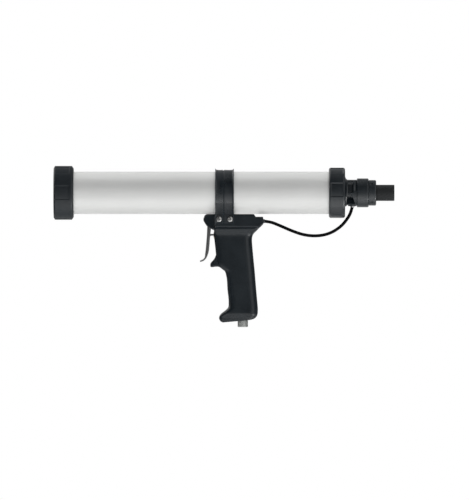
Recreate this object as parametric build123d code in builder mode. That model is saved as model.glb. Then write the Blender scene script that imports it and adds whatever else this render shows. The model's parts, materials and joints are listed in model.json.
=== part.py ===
from build123d import *
import math
import os

# Air-powered caulking gun: barrel, rear regulator head, pistol grip with trigger valve, and air hose.
# Millimetres. The origin is on the barrel's axis at the front cap's front face, +X runs to the rear,
# +Z is up and the grip hangs down. Screw threads are plain lands at their major size.

# ---------------------------------------------------------------- driving sizes
# Clearances
face_gap = 0.05  # between flat faces of pieces that move past each other
run_gap = 0.06  # radial, where one piece turns or slides on another
seat_gap = 0.05  # radial, where a fixed piece sits in its bore
press_gap = 0.02  # radial, round a pressed-in pin, insert or seal
groove_room = 0.4  # a seal's groove is wider than the seal by this
groove_floor = 0.1  # and deeper by this
cut_over = 1.0  # a cut runs past the face that it opens in by this

# Barrel
barrel_outer_r = 27.0
barrel_wall = 1.5
barrel_front_x = 7.0
barrel_length = 355.3

# Front cap
cap_wall = 7.24
cap_length = 25.5
cap_front_wall = 4.5
cap_rim = 4.0  # plain rim at the rear, behind the lobes
cap_lobes = 6
cap_lobe_angle = 30.0
cap_lobe_step = 0.9
cap_front_bevel = 2.5
cap_rear_bevel = 1.2
nozzle_bore_r = 13.5
nozzle_seal_width = 5.5  # inwards from the barrel's bore

# Dispensing piston
piston_length = 18.0
piston_rest_gap = 2.0  # to the rear head's spigot
piston_wall = 2.5
piston_nose_inset = 9.7
piston_nose_length = 3.0
piston_seal_setback = 6.0
piston_seal_section = 1.25

# Rear nut
nut_wall = 5.0
nut_length = 20.6
nut_rear_wall = 4.9
nut_hole_gap = 0.2
nut_lobes = 6
nut_recess_angle = 32.0
nut_recess_centre = 7.0
nut_recess_depth = 0.9
nut_bevel = 2.2
nut_land = 2.6  # full-round land at each end of the recesses

# Regulator body, from the barrel rearwards
flange_length = 4.2
spigot_length = 9.3
barrel_seal_section = 1.3
hub_length = 15.1
hub_front_disc = 3.6
hub_rear_collar = 4.6
hub_ribs = 8
hub_rib_angle = 12.0
supply_r = 6.0
seat_setback = 4.5  # from the hub's rear face to the valve seat
seat_wall = 2.0
seat_bore_r = 2.5
pressure_r = 12.0
hub_core_wall = 1.5
sleeve_wall = 2.0
hub_step = 2.65  # from the sleeve out to the hub
bonnet_recess_step = 0.6
bonnet_recess_length = 3.5
air_way_r = 1.5
air_way_inset = 1.6  # from the pressure chamber's wall to the way's axis
boss_r = 5.5
boss_margin = 0.4
boss_drop = 0.35
boss_way_r = 1.1

# Regulator moving parts
poppet_head_r = 5.0
poppet_head_length = 4.0
poppet_tail_r = 2.2
poppet_tail_length = 12.0
poppet_stem_r = 1.0
poppet_spring_wire = 0.9
poppet_spring_turns = 7
plug_length = 5.0
plug_setback = 0.5
plug_hex_r = 2.5
reg_piston_length = 4.0
reg_piston_lift = 2.0  # clear of the pressure chamber's front wall
reg_piston_boss_r = 5.5
reg_piston_boss_length = 2.2
reg_seal_section = 0.85
reg_spring_r = 7.4
reg_spring_length = 8.0
reg_spring_wire = 1.2
reg_spring_turns = 3.5
plate_length = 3.0
plate_travel = 2.5
plate_key_height = 1.5
key_slot_width = 5.0
key_slot_spare = 1.0

# Knob, ring and exhaust
knob_wall = 4.4
knob_lip = 0.4
knob_bevel = 1.4
ring_wall = 2.25
ring_length = 9.5
ring_rear_wall = 4.0
ring_bevel = 1.6
tube_r = 10.275
tube_wall = 1.7
tube_neck_step = 0.275
tube_reach = 23.3  # out of the ring
core_wall = 3.5
core_setback = 3.3

# Clamp strap
strap_x = 217.8
strap_width = 23.8
strap_wall = 2.35
strap_rim_width = 1.2
strap_rim_height = 1.4
strap_drop = 12.0  # below the barrel
strap_groove_width = 1.0
strap_groove_depth = 0.5
strap_groove_end = 0.75
strap_screw_pitch = 14.0
strap_screw_rise = 5.4
screw_head_r = 3.5
screw_head_height = 2.4
screw_rim_height = 1.2
screw_crown_r = 2.0
screw_shank_r = 2.0
screw_length = 10.0
screw_hole_gap = 0.2
recess_width = 0.9
recess_length = 4.4
recess_depth = 1.4
insert_r = 3.2
insert_length = 8.0

# Handle block. Places along it are from the strap's middle, and levels are from its underside.
block_inset = 5.4  # from the barrel's side to the block's side
block_height = 17.3
block_front = -26.9
block_rear = 49.6
block_shoulder_rear = 45.0
block_step = 3.4
nose_rear = -16.3
nose_taper = 3.9
nose_wall = 5.9
nose_level = -3.5
saddle_half_length = 10.8
saddle_height = 8.1
block_screw_pitch = 30.0
block_screw_y = 10.5
block_screw_head_r = 3.5
block_screw_head_height = 4.0
block_screw_hex_r = 1.7
block_screw_sink = 5.0
block_screw_bite = 13.6  # into the grip

# Grip, in the same places and levels
grip_front = -13.6
grip_height = 121.0
grip_half_width = 16.0
grip_corner_r = 9.0
grip_fin_half_width = 11.0
grip_back = 34.4
grip_back_level = -11.0
grip_lean = math.radians(4.97)
grip_shelf_level = -47.6
grip_shelf_front = -19.1
grip_lower_depth = 36.6
grip_upper_depth = 48.0
grip_toe_reach = 51.7
grip_toe_rise = 7.5
shoulder_inset = 1.0
shoulder_height = 11.6

# Trigger and its valve, in the same places and levels
pivot_place = -19.8
pivot_level = 4.4
pin_r = 1.5
trigger_eye_r = 3.4
trigger_half_width = 6.5
trigger_sheet = 1.6
trigger_slot_gap = 0.6
trigger_face = -1.9  # from the pivot, at the web's top
trigger_web_drop = 3.5
trigger_rake = 0.06
trigger_free_play = 0.27
trigger_knee = 38.0  # below the pivot, where the web curves forwards
trigger_channel_end = 36.0
valve_level = -9.2
gland_recess = 1.2
gland_r = 6.0
gland_length = 8.0
gland_slot_width = 1.6
gland_slot_depth = 1.5
gland_seal_seat = 2.6
gland_seal_seat_r = 2.6
valve_bore_r = 5.0
valve_bore_reach = 3.9  # past the inlet way
outlet_length = 5.0
valve_seat_length = 4.0
valve_seat_bore_r = 2.2
spindle_r = 1.35
spindle_tail = 2.05
spindle_nose_length = 0.9
spindle_tip_r = 0.8
valve_poppet_r = 3.6
valve_poppet_length = 3.5
valve_spring_r = 3.0
valve_spring_wire = 0.8
valve_spring_turns = 8
passage_seal_r = 3.0
passage_seal_section = 0.65

# Air inlet
inlet_setback = 20.67  # from the grip's back at its base
inlet_r = 6.58
inlet_stub = 5.7
inlet_bite = 16.4  # into the grip
inlet_bevel = 0.8
inlet_bore_r = 4.2
inlet_bore_depth = 19.0
inlet_hole_r = 2.5
inlet_land = 7.5
inlet_relief_length = 1.6
inlet_relief_depth = 0.6
inlet_seal_place = 12.1
inlet_seal_section = 0.75
filter_length = 10.0
filter_r = 4.8
filter_tip_r = 3.0
filter_flange = 1.0
filter_step = 0.8
filter_wall = 1.2

# Air hose. Each point is where two straight runs would meet; the arcs are tangent to them.
hose_r = 2.0
hose_route = (
    (264.2, -36.1),
    (274.5, -36.1),
    (289.5, -42.2),
    (305.0, -49.1),
    (320.0, -54.0),
    (336.0, -55.2),
    (351.5, -52.2),
    (365.5, -43.8),
    (374.6, -33.0),
    (379.5, -23.6),
    (381.2, -14.6),
)
hose_arc_share = 0.45  # of the shorter run, taken by each arc
collar_wall = 1.1
collar_bevel = 0.5
handle_collar_length = 5.0
body_collar_length = 3.8

# ---------------------------------------------------------------- derived sizes
barrel_inner_r = barrel_outer_r - barrel_wall
barrel_rear_x = barrel_front_x + barrel_length
barrel_seat_r = barrel_outer_r + seat_gap
cap_bore_r = barrel_outer_r + run_gap
cap_r = cap_bore_r + cap_wall
nut_r = barrel_seat_r + nut_wall

spigot_front_x = barrel_rear_x - spigot_length
spigot_r = barrel_inner_r - seat_gap
flange_rear_x = barrel_rear_x + flange_length
nut_rear_x = flange_rear_x + nut_rear_wall
nut_front_x = nut_rear_x - nut_length
hub_rear_x = nut_rear_x + hub_length
supply_rear_x = hub_rear_x - seat_setback
pressure_front_x = supply_rear_x + seat_wall
sleeve_r = pressure_r + sleeve_wall
hub_r = sleeve_r + hub_step
hub_core_r = pressure_r + hub_core_wall
bonnet_recess_r = pressure_r + bonnet_recess_step
boss_x = hub_rear_x - boss_r - boss_margin
boss_top_z = -pressure_r - seat_gap
boss_bottom_z = -hub_r - boss_drop

piston_rear_x = spigot_front_x - piston_rest_gap
piston_front_x = piston_rear_x - piston_length
piston_r = barrel_inner_r - run_gap
piston_seal_x = piston_rear_x - piston_seal_setback
plug_front_x = spigot_front_x + plug_setback
plug_rear_x = plug_front_x + plug_length
poppet_rear_x = supply_rear_x - face_gap
poppet_head_x = poppet_rear_x - poppet_head_length
poppet_front_x = poppet_head_x - poppet_tail_length
reg_piston_x = pressure_front_x + reg_piston_lift
reg_piston_rear_x = reg_piston_x + reg_piston_length
reg_piston_r = pressure_r - run_gap
reg_seal_x = reg_piston_x + reg_piston_length / 2
plate_x = reg_piston_rear_x + reg_spring_length
plate_rear_x = plate_x + plate_length
plate_key_r = sleeve_r + plate_key_height
key_slot_front_x = plate_x - plate_travel - key_slot_spare

knob_front_x = hub_rear_x + 2 * face_gap
knob_rear_x = plate_rear_x + knob_lip
knob_thread_front_x = key_slot_front_x + 2 * face_gap
knob_r = sleeve_r + knob_wall
ring_front_x = knob_rear_x + 2 * face_gap
ring_rear_x = ring_front_x + ring_length
ring_r = sleeve_r + ring_wall
sleeve_rear_x = ring_rear_x - ring_rear_wall
bonnet_recess_x = sleeve_rear_x - bonnet_recess_length
tube_inner_r = tube_r - tube_wall
tube_neck_r = tube_r - tube_neck_step
tube_rear_x = ring_rear_x + tube_reach
core_rear_x = tube_rear_x - core_setback

block_half_width = barrel_outer_r - block_inset
block_top_z = -barrel_outer_r - 2 * seat_gap
block_bottom_z = block_top_z - block_height
slot_half_width = trigger_half_width + trigger_slot_gap
nose_half_width = slot_half_width + nose_wall
strap_inner_r = barrel_seat_r
strap_r = strap_inner_r + strap_wall
strap_leg_inner_y = block_half_width + seat_gap
strap_leg_y = strap_leg_inner_y + strap_wall
strap_leg_top_z = 4 * seat_gap - math.sqrt(strap_inner_r**2 - strap_leg_inner_y**2)
strap_bottom_z = -barrel_outer_r - strap_drop
strap_screw_z = strap_bottom_z + strap_screw_rise
strap_screw_x = (strap_x - strap_screw_pitch / 2, strap_x + strap_screw_pitch / 2)
block_screw_x = (strap_x, strap_x + block_screw_pitch)

pivot_x = strap_x + pivot_place
pivot_z = block_bottom_z + pivot_level
grip_front_x = strap_x + grip_front
grip_base_z = block_bottom_z - grip_height
valve_z = block_bottom_z + valve_level
valve_front_x = grip_front_x + gland_recess
gland_rear_x = valve_front_x + gland_length
outlet_way_x = gland_rear_x + outlet_length / 2
seat_front_x = gland_rear_x + outlet_length
seat_rear_x = seat_front_x + valve_seat_length
valve_poppet_x = seat_rear_x + face_gap
valve_poppet_rear_x = valve_poppet_x + valve_poppet_length
spindle_rear_x = valve_poppet_rear_x + spindle_tail
trigger_web_z = pivot_z - trigger_web_drop
trigger_inner_x = pivot_x + trigger_face + trigger_sheet - trigger_rake * (trigger_web_z - valve_z)
spindle_front_x = trigger_inner_x + trigger_free_play
gland_seal_section = (gland_seal_seat_r - spindle_r - run_gap) / 2

back_slope = math.tan(grip_lean)


def back_place(level):
    """Place of the grip's leaning back at a level."""
    return grip_back + (grip_back_level - level) * back_slope


inlet_x = strap_x + back_place(-grip_height) - inlet_setback
inlet_bottom_z = grip_base_z - inlet_stub
inlet_top_z = grip_base_z + inlet_bite
inlet_relief_z = inlet_bottom_z + inlet_land
inlet_seal_z = inlet_bottom_z + inlet_seal_place
inlet_chamber_top_z = inlet_top_z + filter_length
valve_bore_end_x = inlet_x + valve_bore_reach
collar_r = hose_r + seat_gap + collar_wall

# ---------------------------------------------------------------- shared frames
# Turned pieces are drawn as (distance along the axis, radius) in a frame whose x runs along the axis.
barrel_frame = Plane.XZ
air_way_frame = Plane(origin=(0, 0, pressure_r - air_way_inset), x_dir=(1, 0, 0), z_dir=(0, -1, 0))
valve_frame = Plane(origin=(0, 0, valve_z), x_dir=(1, 0, 0), z_dir=(0, -1, 0))
handle_frame = Plane(origin=(strap_x, 0, block_bottom_z), x_dir=(1, 0, 0), z_dir=(0, -1, 0))
trigger_frame = Plane(origin=(pivot_x, 0, pivot_z), x_dir=(1, 0, 0), z_dir=(0, -1, 0))
hose_start = Vector(hose_route[0][0], 0, hose_route[0][1])
hose_end = Vector(hose_route[-1][0], 0, hose_route[-1][1])
hose_end_way = (Vector(hose_route[-2][0], 0, hose_route[-2][1]) - hose_end).normalized()
handle_hose_frame = Plane(origin=hose_start, x_dir=(1, 0, 0), z_dir=(0, -1, 0))
body_hose_frame = Plane(origin=hose_end, x_dir=hose_end_way, z_dir=(0, -1, 0))


def side_frame(x, y, z, side):
    """Frame of a piece whose axis runs out of the gun's side, along +Y or -Y."""
    return Plane(origin=(x, side * y, z), x_dir=(0, side, 0), z_dir=(0, 0, 1))


def upright_frame(x, y=0):
    """Frame of a piece whose axis stands upright, along +Z."""
    return Plane(origin=(x, y, 0), x_dir=(0, 0, 1), z_dir=(0, -1, 0))


inlet_frame = upright_frame(inlet_x)
outlet_frame = upright_frame(outlet_way_x)
pivot_frame = side_frame(pivot_x, 0, pivot_z, 1)
strap_screw_places = [(x, side) for side in (-1, 1) for x in strap_screw_x]
block_screw_frames = [upright_frame(x, side * block_screw_y) for side in (-1, 1) for x in block_screw_x]


# ---------------------------------------------------------------- repeated shapes
def turn(frame, *profile, mode=Mode.ADD):
    """Turn a closed profile of (along, radius) points about the frame's x axis."""
    with BuildSketch(frame) as section:
        with BuildLine():
            Polyline(*profile, close=True)
        make_face()
    revolve(section.sketch, axis=Axis(frame.origin, frame.x_dir), mode=mode)


def bore(frame, start, end, radius, mode=Mode.SUBTRACT):
    """Cut, or with Mode.ADD make, a plain cylinder along the frame's x axis."""
    turn(frame, (start, 0), (start, radius), (end, radius), (end, 0), mode=mode)


def groove(centre, outer_r, section_r):
    """The four profile corners of the groove that a seal of this section sits in."""
    half_width = section_r + groove_room / 2
    floor_r = outer_r - 2 * section_r - groove_floor
    return (
        (centre - half_width, outer_r),
        (centre - half_width, floor_r),
        (centre + half_width, floor_r),
        (centre + half_width, outer_r),
    )


def bar(plane, width, height, amount, mode=Mode.ADD):
    """Extrude a centred rectangle from a plane."""
    with BuildSketch(plane) as section:
        Rectangle(width, height)
    extrude(section.sketch, amount=amount, mode=mode)


def sector_cuts(plane, inner_r, outer_r, first_angle, width_angle, count, length):
    """Cut equal sectors of a ring, evenly spaced, along the plane's normal."""
    with BuildSketch(plane) as section:
        for index in range(count):
            start = first_angle + index * 360 / count
            with BuildLine():
                outer = CenterArc((0, 0), outer_r, start, width_angle)
                inner = CenterArc((0, 0), inner_r, start, width_angle)
                Line(outer @ 0, inner @ 0)
                Line(outer @ 1, inner @ 1)
            make_face()
    extrude(section.sketch, amount=length, mode=Mode.SUBTRACT)


def rounded_outline(plane, corners):
    """Sketch of a closed outline given as (x, z, corner radius)."""
    with BuildSketch(plane) as outline:
        with BuildLine():
            FilletPolyline(*[(x, z) for x, z, _ in corners], radius=[r for _, _, r in corners], close=True)
        make_face()
    return outline.sketch


def seal_ring(frame, along, outer_r, section_r):
    """A rubber ring about the frame's x axis, by its outer radius and its section's radius."""
    with BuildPart() as ring:
        with BuildSketch(frame) as section:
            with Locations((along, outer_r - section_r)):
                Circle(section_r)
        revolve(section.sketch, axis=Axis(frame.origin, frame.x_dir))
    return ring.part


def coil_spring(start_x, end_x, z, mean_r, wire, turns):
    """A compression spring along X whose wire lies wholly between its two ends."""
    height = end_x - start_x - wire
    with BuildPart() as coil:
        with BuildLine():
            start = (start_x + wire / 2, 0, z)
            path = Helix(height / turns, height, mean_r, center=start, direction=(1, 0, 0))
        with BuildSketch(Plane(origin=path @ 0, z_dir=path % 0)):
            Circle(wire / 2)
        sweep(path=path, is_frenet=True)
    return coil.part


def save(part, label):
    """Label a finished piece and write it to its own STEP file."""
    part.label = label
    export_step(part, f"parts/{label}.step")


os.makedirs("parts", exist_ok=True)

# ---------------------------------------------------------------- barrel and front end
with BuildPart() as barrel_tube:
    turn(
        barrel_frame,
        (barrel_front_x, barrel_inner_r),
        (barrel_front_x, barrel_outer_r),
        (barrel_rear_x, barrel_outer_r),
        (barrel_rear_x, barrel_inner_r),
    )
save(barrel_tube.part, "barrel_tube")

with BuildPart() as front_cap:
    turn(
        barrel_frame,
        (0, nozzle_bore_r),
        (0, cap_r - cap_front_bevel),
        (cap_front_bevel, cap_r),
        (cap_length - cap_rear_bevel, cap_r),
        (cap_length, cap_r - cap_rear_bevel),
        (cap_length, cap_bore_r),
        (cap_front_wall, cap_bore_r),
        (cap_front_wall, nozzle_bore_r),
    )
    sector_cuts(
        Plane.YZ,
        cap_r - cap_lobe_step,
        cap_r + cap_lobe_step,
        cap_lobe_angle / 2,
        360 / cap_lobes - cap_lobe_angle,
        cap_lobes,
        cap_length - cap_rim,
    )
save(front_cap.part, "front_cap")

with BuildPart() as nozzle_seal:
    turn(
        barrel_frame,
        (cap_front_wall + face_gap, barrel_inner_r - nozzle_seal_width),
        (cap_front_wall + face_gap, barrel_outer_r),
        (barrel_front_x - face_gap, barrel_outer_r),
        (barrel_front_x - face_gap, barrel_inner_r - nozzle_seal_width),
    )
save(nozzle_seal.part, "nozzle_seal")

piston_groove = groove(piston_seal_x, piston_r, piston_seal_section)
piston_hollow_r = piston_groove[1][1] - piston_wall
with BuildPart() as dispensing_piston:
    turn(
        barrel_frame,
        (piston_front_x, 0),
        (piston_front_x, piston_r - piston_nose_inset),
        (piston_front_x + piston_nose_length, piston_r),
        *piston_groove,
        (piston_rear_x, piston_r),
        (piston_rear_x, piston_hollow_r),
        (piston_front_x + piston_nose_length + piston_wall, piston_hollow_r),
        (piston_front_x + piston_nose_length + piston_wall, 0),
    )
save(dispensing_piston.part, "dispensing_piston")
save(seal_ring(barrel_frame, piston_seal_x, piston_r, piston_seal_section), "piston_seal")

# ---------------------------------------------------------------- rear head, fixed pieces
with BuildPart() as rear_nut:
    turn(
        barrel_frame,
        (nut_front_x, barrel_seat_r),
        (nut_front_x, nut_r - nut_bevel),
        (nut_front_x + nut_bevel, nut_r),
        (nut_rear_x - nut_bevel, nut_r),
        (nut_rear_x, nut_r - nut_bevel),
        (nut_rear_x, hub_r + nut_hole_gap),
        (flange_rear_x, hub_r + nut_hole_gap),
        (flange_rear_x, barrel_seat_r),
    )
    sector_cuts(
        Plane.YZ.offset(nut_front_x + nut_land),
        nut_r - nut_recess_depth,
        nut_r + nut_recess_depth,
        180 - nut_recess_centre - nut_recess_angle / 2,
        nut_recess_angle,
        nut_lobes,
        nut_length - 2 * nut_land,
    )
save(rear_nut.part, "rear_nut")

barrel_seal_x = spigot_front_x + spigot_length / 2
with BuildPart() as regulator_body:
    turn(
        barrel_frame,
        (spigot_front_x, supply_r),
        (spigot_front_x, spigot_r),
        *groove(barrel_seal_x, spigot_r, barrel_seal_section),
        (barrel_rear_x, spigot_r),
        (barrel_rear_x, barrel_outer_r),
        (flange_rear_x, barrel_outer_r),
        (flange_rear_x, hub_r),
        (hub_rear_x, hub_r),
        (hub_rear_x, sleeve_r),
        (sleeve_rear_x, sleeve_r),
        (sleeve_rear_x, bonnet_recess_r),
        (bonnet_recess_x, bonnet_recess_r),
        (bonnet_recess_x, pressure_r),
        (pressure_front_x, pressure_r),
        (pressure_front_x, seat_bore_r),
        (supply_rear_x, seat_bore_r),
        (supply_rear_x, supply_r),
    )
    # pockets between the hub's axial ribs
    sector_cuts(
        Plane.YZ.offset(nut_rear_x + hub_front_disc),
        hub_core_r,
        hub_r + cut_over,
        hub_rib_angle / 2,
        360 / hub_ribs - hub_rib_angle,
        hub_ribs,
        hub_length - hub_front_disc - hub_rear_collar,
    )
    # hose boss under the hub
    with BuildSketch(Plane.XY.offset(boss_bottom_z)):
        with Locations((boss_x, 0)):
            Circle(boss_r)
    extrude(amount=boss_top_z - boss_bottom_z)
    # way from the pressure chamber back to the barrel
    bore(air_way_frame, spigot_front_x - cut_over, pressure_front_x + cut_over, air_way_r)
    # hose way from the boss up to the supply chamber
    bore(upright_frame(boss_x), hose_end.Z - cut_over, -supply_r / 2, boss_way_r)
    bore(body_hose_frame, 0, 2 * boss_r, collar_r + seat_gap)
    # key slots for the spring plate, open to the rear
    bar(
        Plane.YZ.offset(key_slot_front_x),
        2 * (sleeve_r + cut_over),
        key_slot_width,
        sleeve_rear_x + cut_over - key_slot_front_x,
        mode=Mode.SUBTRACT,
    )
save(regulator_body.part, "regulator_body")
save(seal_ring(barrel_frame, barrel_seal_x, spigot_r, barrel_seal_section), "barrel_seal")

with BuildPart() as retaining_ring:
    turn(
        barrel_frame,
        (ring_front_x, sleeve_r + seat_gap),
        (ring_front_x, ring_r),
        (ring_rear_x - ring_bevel, ring_r),
        (ring_rear_x, ring_r - ring_bevel),
        (ring_rear_x, tube_r + seat_gap),
        (sleeve_rear_x, tube_r + seat_gap),
        (sleeve_rear_x, sleeve_r + seat_gap),
    )
save(retaining_ring.part, "retaining_ring")

with BuildPart() as silencer_tube:
    turn(
        barrel_frame,
        (bonnet_recess_x, tube_inner_r),
        (bonnet_recess_x, bonnet_recess_r - seat_gap),
        (sleeve_rear_x, bonnet_recess_r - seat_gap),
        (sleeve_rear_x, tube_neck_r),
        (ring_rear_x + seat_gap, tube_neck_r),
        (ring_rear_x + seat_gap, tube_r),
        (tube_rear_x, tube_r),
        (tube_rear_x, tube_inner_r),
    )
save(silencer_tube.part, "silencer_tube")

with BuildPart() as silencer_core:
    turn(
        barrel_frame,
        (sleeve_rear_x, tube_inner_r - core_wall),
        (sleeve_rear_x, tube_inner_r - seat_gap),
        (core_rear_x, tube_inner_r - seat_gap),
        (core_rear_x, 0),
        (core_rear_x - core_wall, 0),
        (core_rear_x - core_wall, tube_inner_r - core_wall),
    )
save(silencer_core.part, "silencer_core")

with BuildPart() as poppet_plug:
    bore(barrel_frame, plug_front_x, plug_rear_x, supply_r - seat_gap, mode=Mode.ADD)
    with BuildSketch(Plane.YZ.offset(plug_front_x)):
        RegularPolygon(plug_hex_r, 6)
    extrude(amount=plug_length / 2, mode=Mode.SUBTRACT)
save(poppet_plug.part, "poppet_plug")

# ---------------------------------------------------------------- rear head, moving pieces
with BuildPart() as regulator_poppet:
    turn(
        barrel_frame,
        (poppet_front_x, 0),
        (poppet_front_x, poppet_tail_r),
        (poppet_head_x, poppet_tail_r),
        (poppet_head_x, poppet_head_r),
        (poppet_rear_x, poppet_head_r),
        (poppet_rear_x, poppet_stem_r),
        (reg_piston_x - face_gap, poppet_stem_r),
        (reg_piston_x - face_gap, 0),
    )
save(regulator_poppet.part, "regulator_poppet")
poppet_spring_r = (poppet_tail_r + poppet_head_r) / 2
save(
    coil_spring(plug_rear_x, poppet_head_x, 0, poppet_spring_r, poppet_spring_wire, poppet_spring_turns),
    "poppet_spring",
)

with BuildPart() as regulator_piston:
    turn(
        barrel_frame,
        (reg_piston_x, 0),
        (reg_piston_x, reg_piston_r),
        *groove(reg_seal_x, reg_piston_r, reg_seal_section),
        (reg_piston_rear_x, reg_piston_r),
        (reg_piston_rear_x, reg_piston_boss_r),
        (reg_piston_rear_x + reg_piston_boss_length, reg_piston_boss_r),
        (reg_piston_rear_x + reg_piston_boss_length, 0),
    )
save(regulator_piston.part, "regulator_piston")
save(seal_ring(barrel_frame, reg_seal_x, reg_piston_r, reg_seal_section), "regulator_piston_seal")
save(
    coil_spring(reg_piston_rear_x, plate_x, 0, reg_spring_r, reg_spring_wire, reg_spring_turns),
    "regulator_spring",
)

with BuildPart() as spring_plate:
    bore(barrel_frame, plate_x, plate_rear_x, pressure_r - run_gap, mode=Mode.ADD)
    bar(Plane.YZ.offset(plate_x), 2 * plate_key_r, key_slot_width - 2 * run_gap, plate_length)
    bore(barrel_frame, plate_x, plate_rear_x, plate_key_r, mode=Mode.INTERSECT)
    bore(barrel_frame, plate_x, plate_rear_x, reg_piston_boss_r + run_gap)
save(spring_plate.part, "spring_plate")

with BuildPart() as regulator_knob:
    turn(
        barrel_frame,
        (knob_front_x, sleeve_r + run_gap),
        (knob_front_x, knob_r - knob_bevel),
        (knob_front_x + knob_bevel, knob_r),
        (knob_rear_x - knob_bevel, knob_r),
        (knob_rear_x, knob_r - knob_bevel),
        (knob_rear_x, plate_key_r + run_gap),
        (knob_thread_front_x, plate_key_r + run_gap),
        (knob_thread_front_x, sleeve_r + run_gap),
    )
save(regulator_knob.part, "regulator_knob")

# ---------------------------------------------------------------- clamp strap
strap_front_x = strap_x - strap_width / 2
strap_layers = (
    (strap_front_x, strap_width, 0),
    (strap_front_x, strap_rim_width, strap_rim_height),
    (strap_front_x + strap_width - strap_rim_width, strap_rim_width, strap_rim_height),
)
leg_height = strap_leg_top_z - strap_bottom_z
with BuildPart() as clamp_strap:
    for layer_x, layer_width, proud in strap_layers:
        with BuildSketch(Plane.YZ.offset(layer_x)):
            Circle(strap_r + proud)
            with Locations((0, strap_bottom_z)):
                Rectangle(2 * (strap_leg_y + proud), leg_height, align=(Align.CENTER, Align.MIN))
            Circle(strap_inner_r, mode=Mode.SUBTRACT)
            with Locations((0, strap_bottom_z)):
                Rectangle(
                    2 * strap_leg_inner_y, leg_height, align=(Align.CENTER, Align.MIN), mode=Mode.SUBTRACT
                )
        extrude(amount=layer_width)
    # shallow line down the middle of each side, following the band's outer surface
    with BuildSketch(Plane.YZ.offset(strap_x - strap_groove_width / 2)):
        with Locations((0, strap_bottom_z / 2)):
            Rectangle(2 * (strap_r + cut_over), -strap_bottom_z - 2 * strap_groove_end)
        Circle(strap_r - strap_groove_depth, mode=Mode.SUBTRACT)
        with Locations((0, strap_bottom_z)):
            Rectangle(
                2 * (strap_leg_y - strap_groove_depth),
                leg_height,
                align=(Align.CENTER, Align.MIN),
                mode=Mode.SUBTRACT,
            )
    extrude(amount=strap_groove_width, mode=Mode.SUBTRACT)
    for x, side in strap_screw_places:
        bore(
            side_frame(x, strap_leg_inner_y, strap_screw_z, side),
            -cut_over,
            strap_wall + cut_over,
            screw_shank_r + screw_hole_gap,
        )
save(clamp_strap.part, "clamp_strap")

with BuildPart() as strap_screws:
    for x, side in strap_screw_places:
        turn(
            side_frame(x, strap_leg_y, strap_screw_z, side),
            (-screw_length, 0),
            (-screw_length, screw_shank_r),
            (face_gap, screw_shank_r),
            (face_gap, screw_head_r),
            (screw_rim_height, screw_head_r),
            (screw_head_height, screw_crown_r),
            (screw_head_height, 0),
        )
        crown_plane = Plane(
            origin=(x, side * (strap_leg_y + screw_head_height), strap_screw_z),
            x_dir=(1, 0, 0),
            z_dir=(0, side, 0),
        )
        bar(crown_plane, recess_length, recess_width, -recess_depth, mode=Mode.SUBTRACT)
        bar(crown_plane, recess_width, recess_length, -recess_depth, mode=Mode.SUBTRACT)
save(strap_screws.part, "strap_screws")

with BuildPart() as screw_inserts:
    for x, side in strap_screw_places:
        turn(
            side_frame(x, block_half_width - face_gap, strap_screw_z, side),
            (-insert_length, screw_shank_r + seat_gap),
            (-insert_length, insert_r),
            (0, insert_r),
            (0, screw_shank_r + seat_gap),
        )
save(screw_inserts.part, "screw_inserts")

# ---------------------------------------------------------------- handle block
block_outline = (
    (block_front + 2.3, block_height, 3.5),
    (block_front, 8.8, 2.5),
    (block_front + 4.5, 2.0, 6.0),
    (grip_front - 0.6, nose_level, 0.4),
    (grip_front, nose_level, 0.0),
    (grip_front, 0, 0.0),
    (block_shoulder_rear, 0, 0.0),
    (block_rear, 4.7, 1.0),
    (block_rear - 0.4, block_height - block_step, 0.6),
    (block_rear - 9.9, block_height - block_step, 1.0),
    (block_rear - 12.1, block_height, 0.6),
)
block_plan = (
    (block_front - cut_over, nose_half_width, 0.0),
    (nose_rear, nose_half_width, 4.0),
    (nose_rear + nose_taper, block_half_width, 1.5),
    (block_rear + cut_over, block_half_width, 0.0),
    (block_rear + cut_over, -block_half_width, 0.0),
    (nose_rear + nose_taper, -block_half_width, 1.5),
    (nose_rear, -nose_half_width, 4.0),
    (block_front - cut_over, -nose_half_width, 0.0),
)
plan_frame = Plane.XY.move(Location((strap_x, 0, block_bottom_z)))
slot_front_x = pivot_x - trigger_eye_r - trigger_slot_gap
slot_top_z = pivot_z + trigger_eye_r + 2 * trigger_slot_gap
insert_hole_depth = insert_length + 3 * cut_over
screw_seat_z = block_top_z - block_screw_sink
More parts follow.
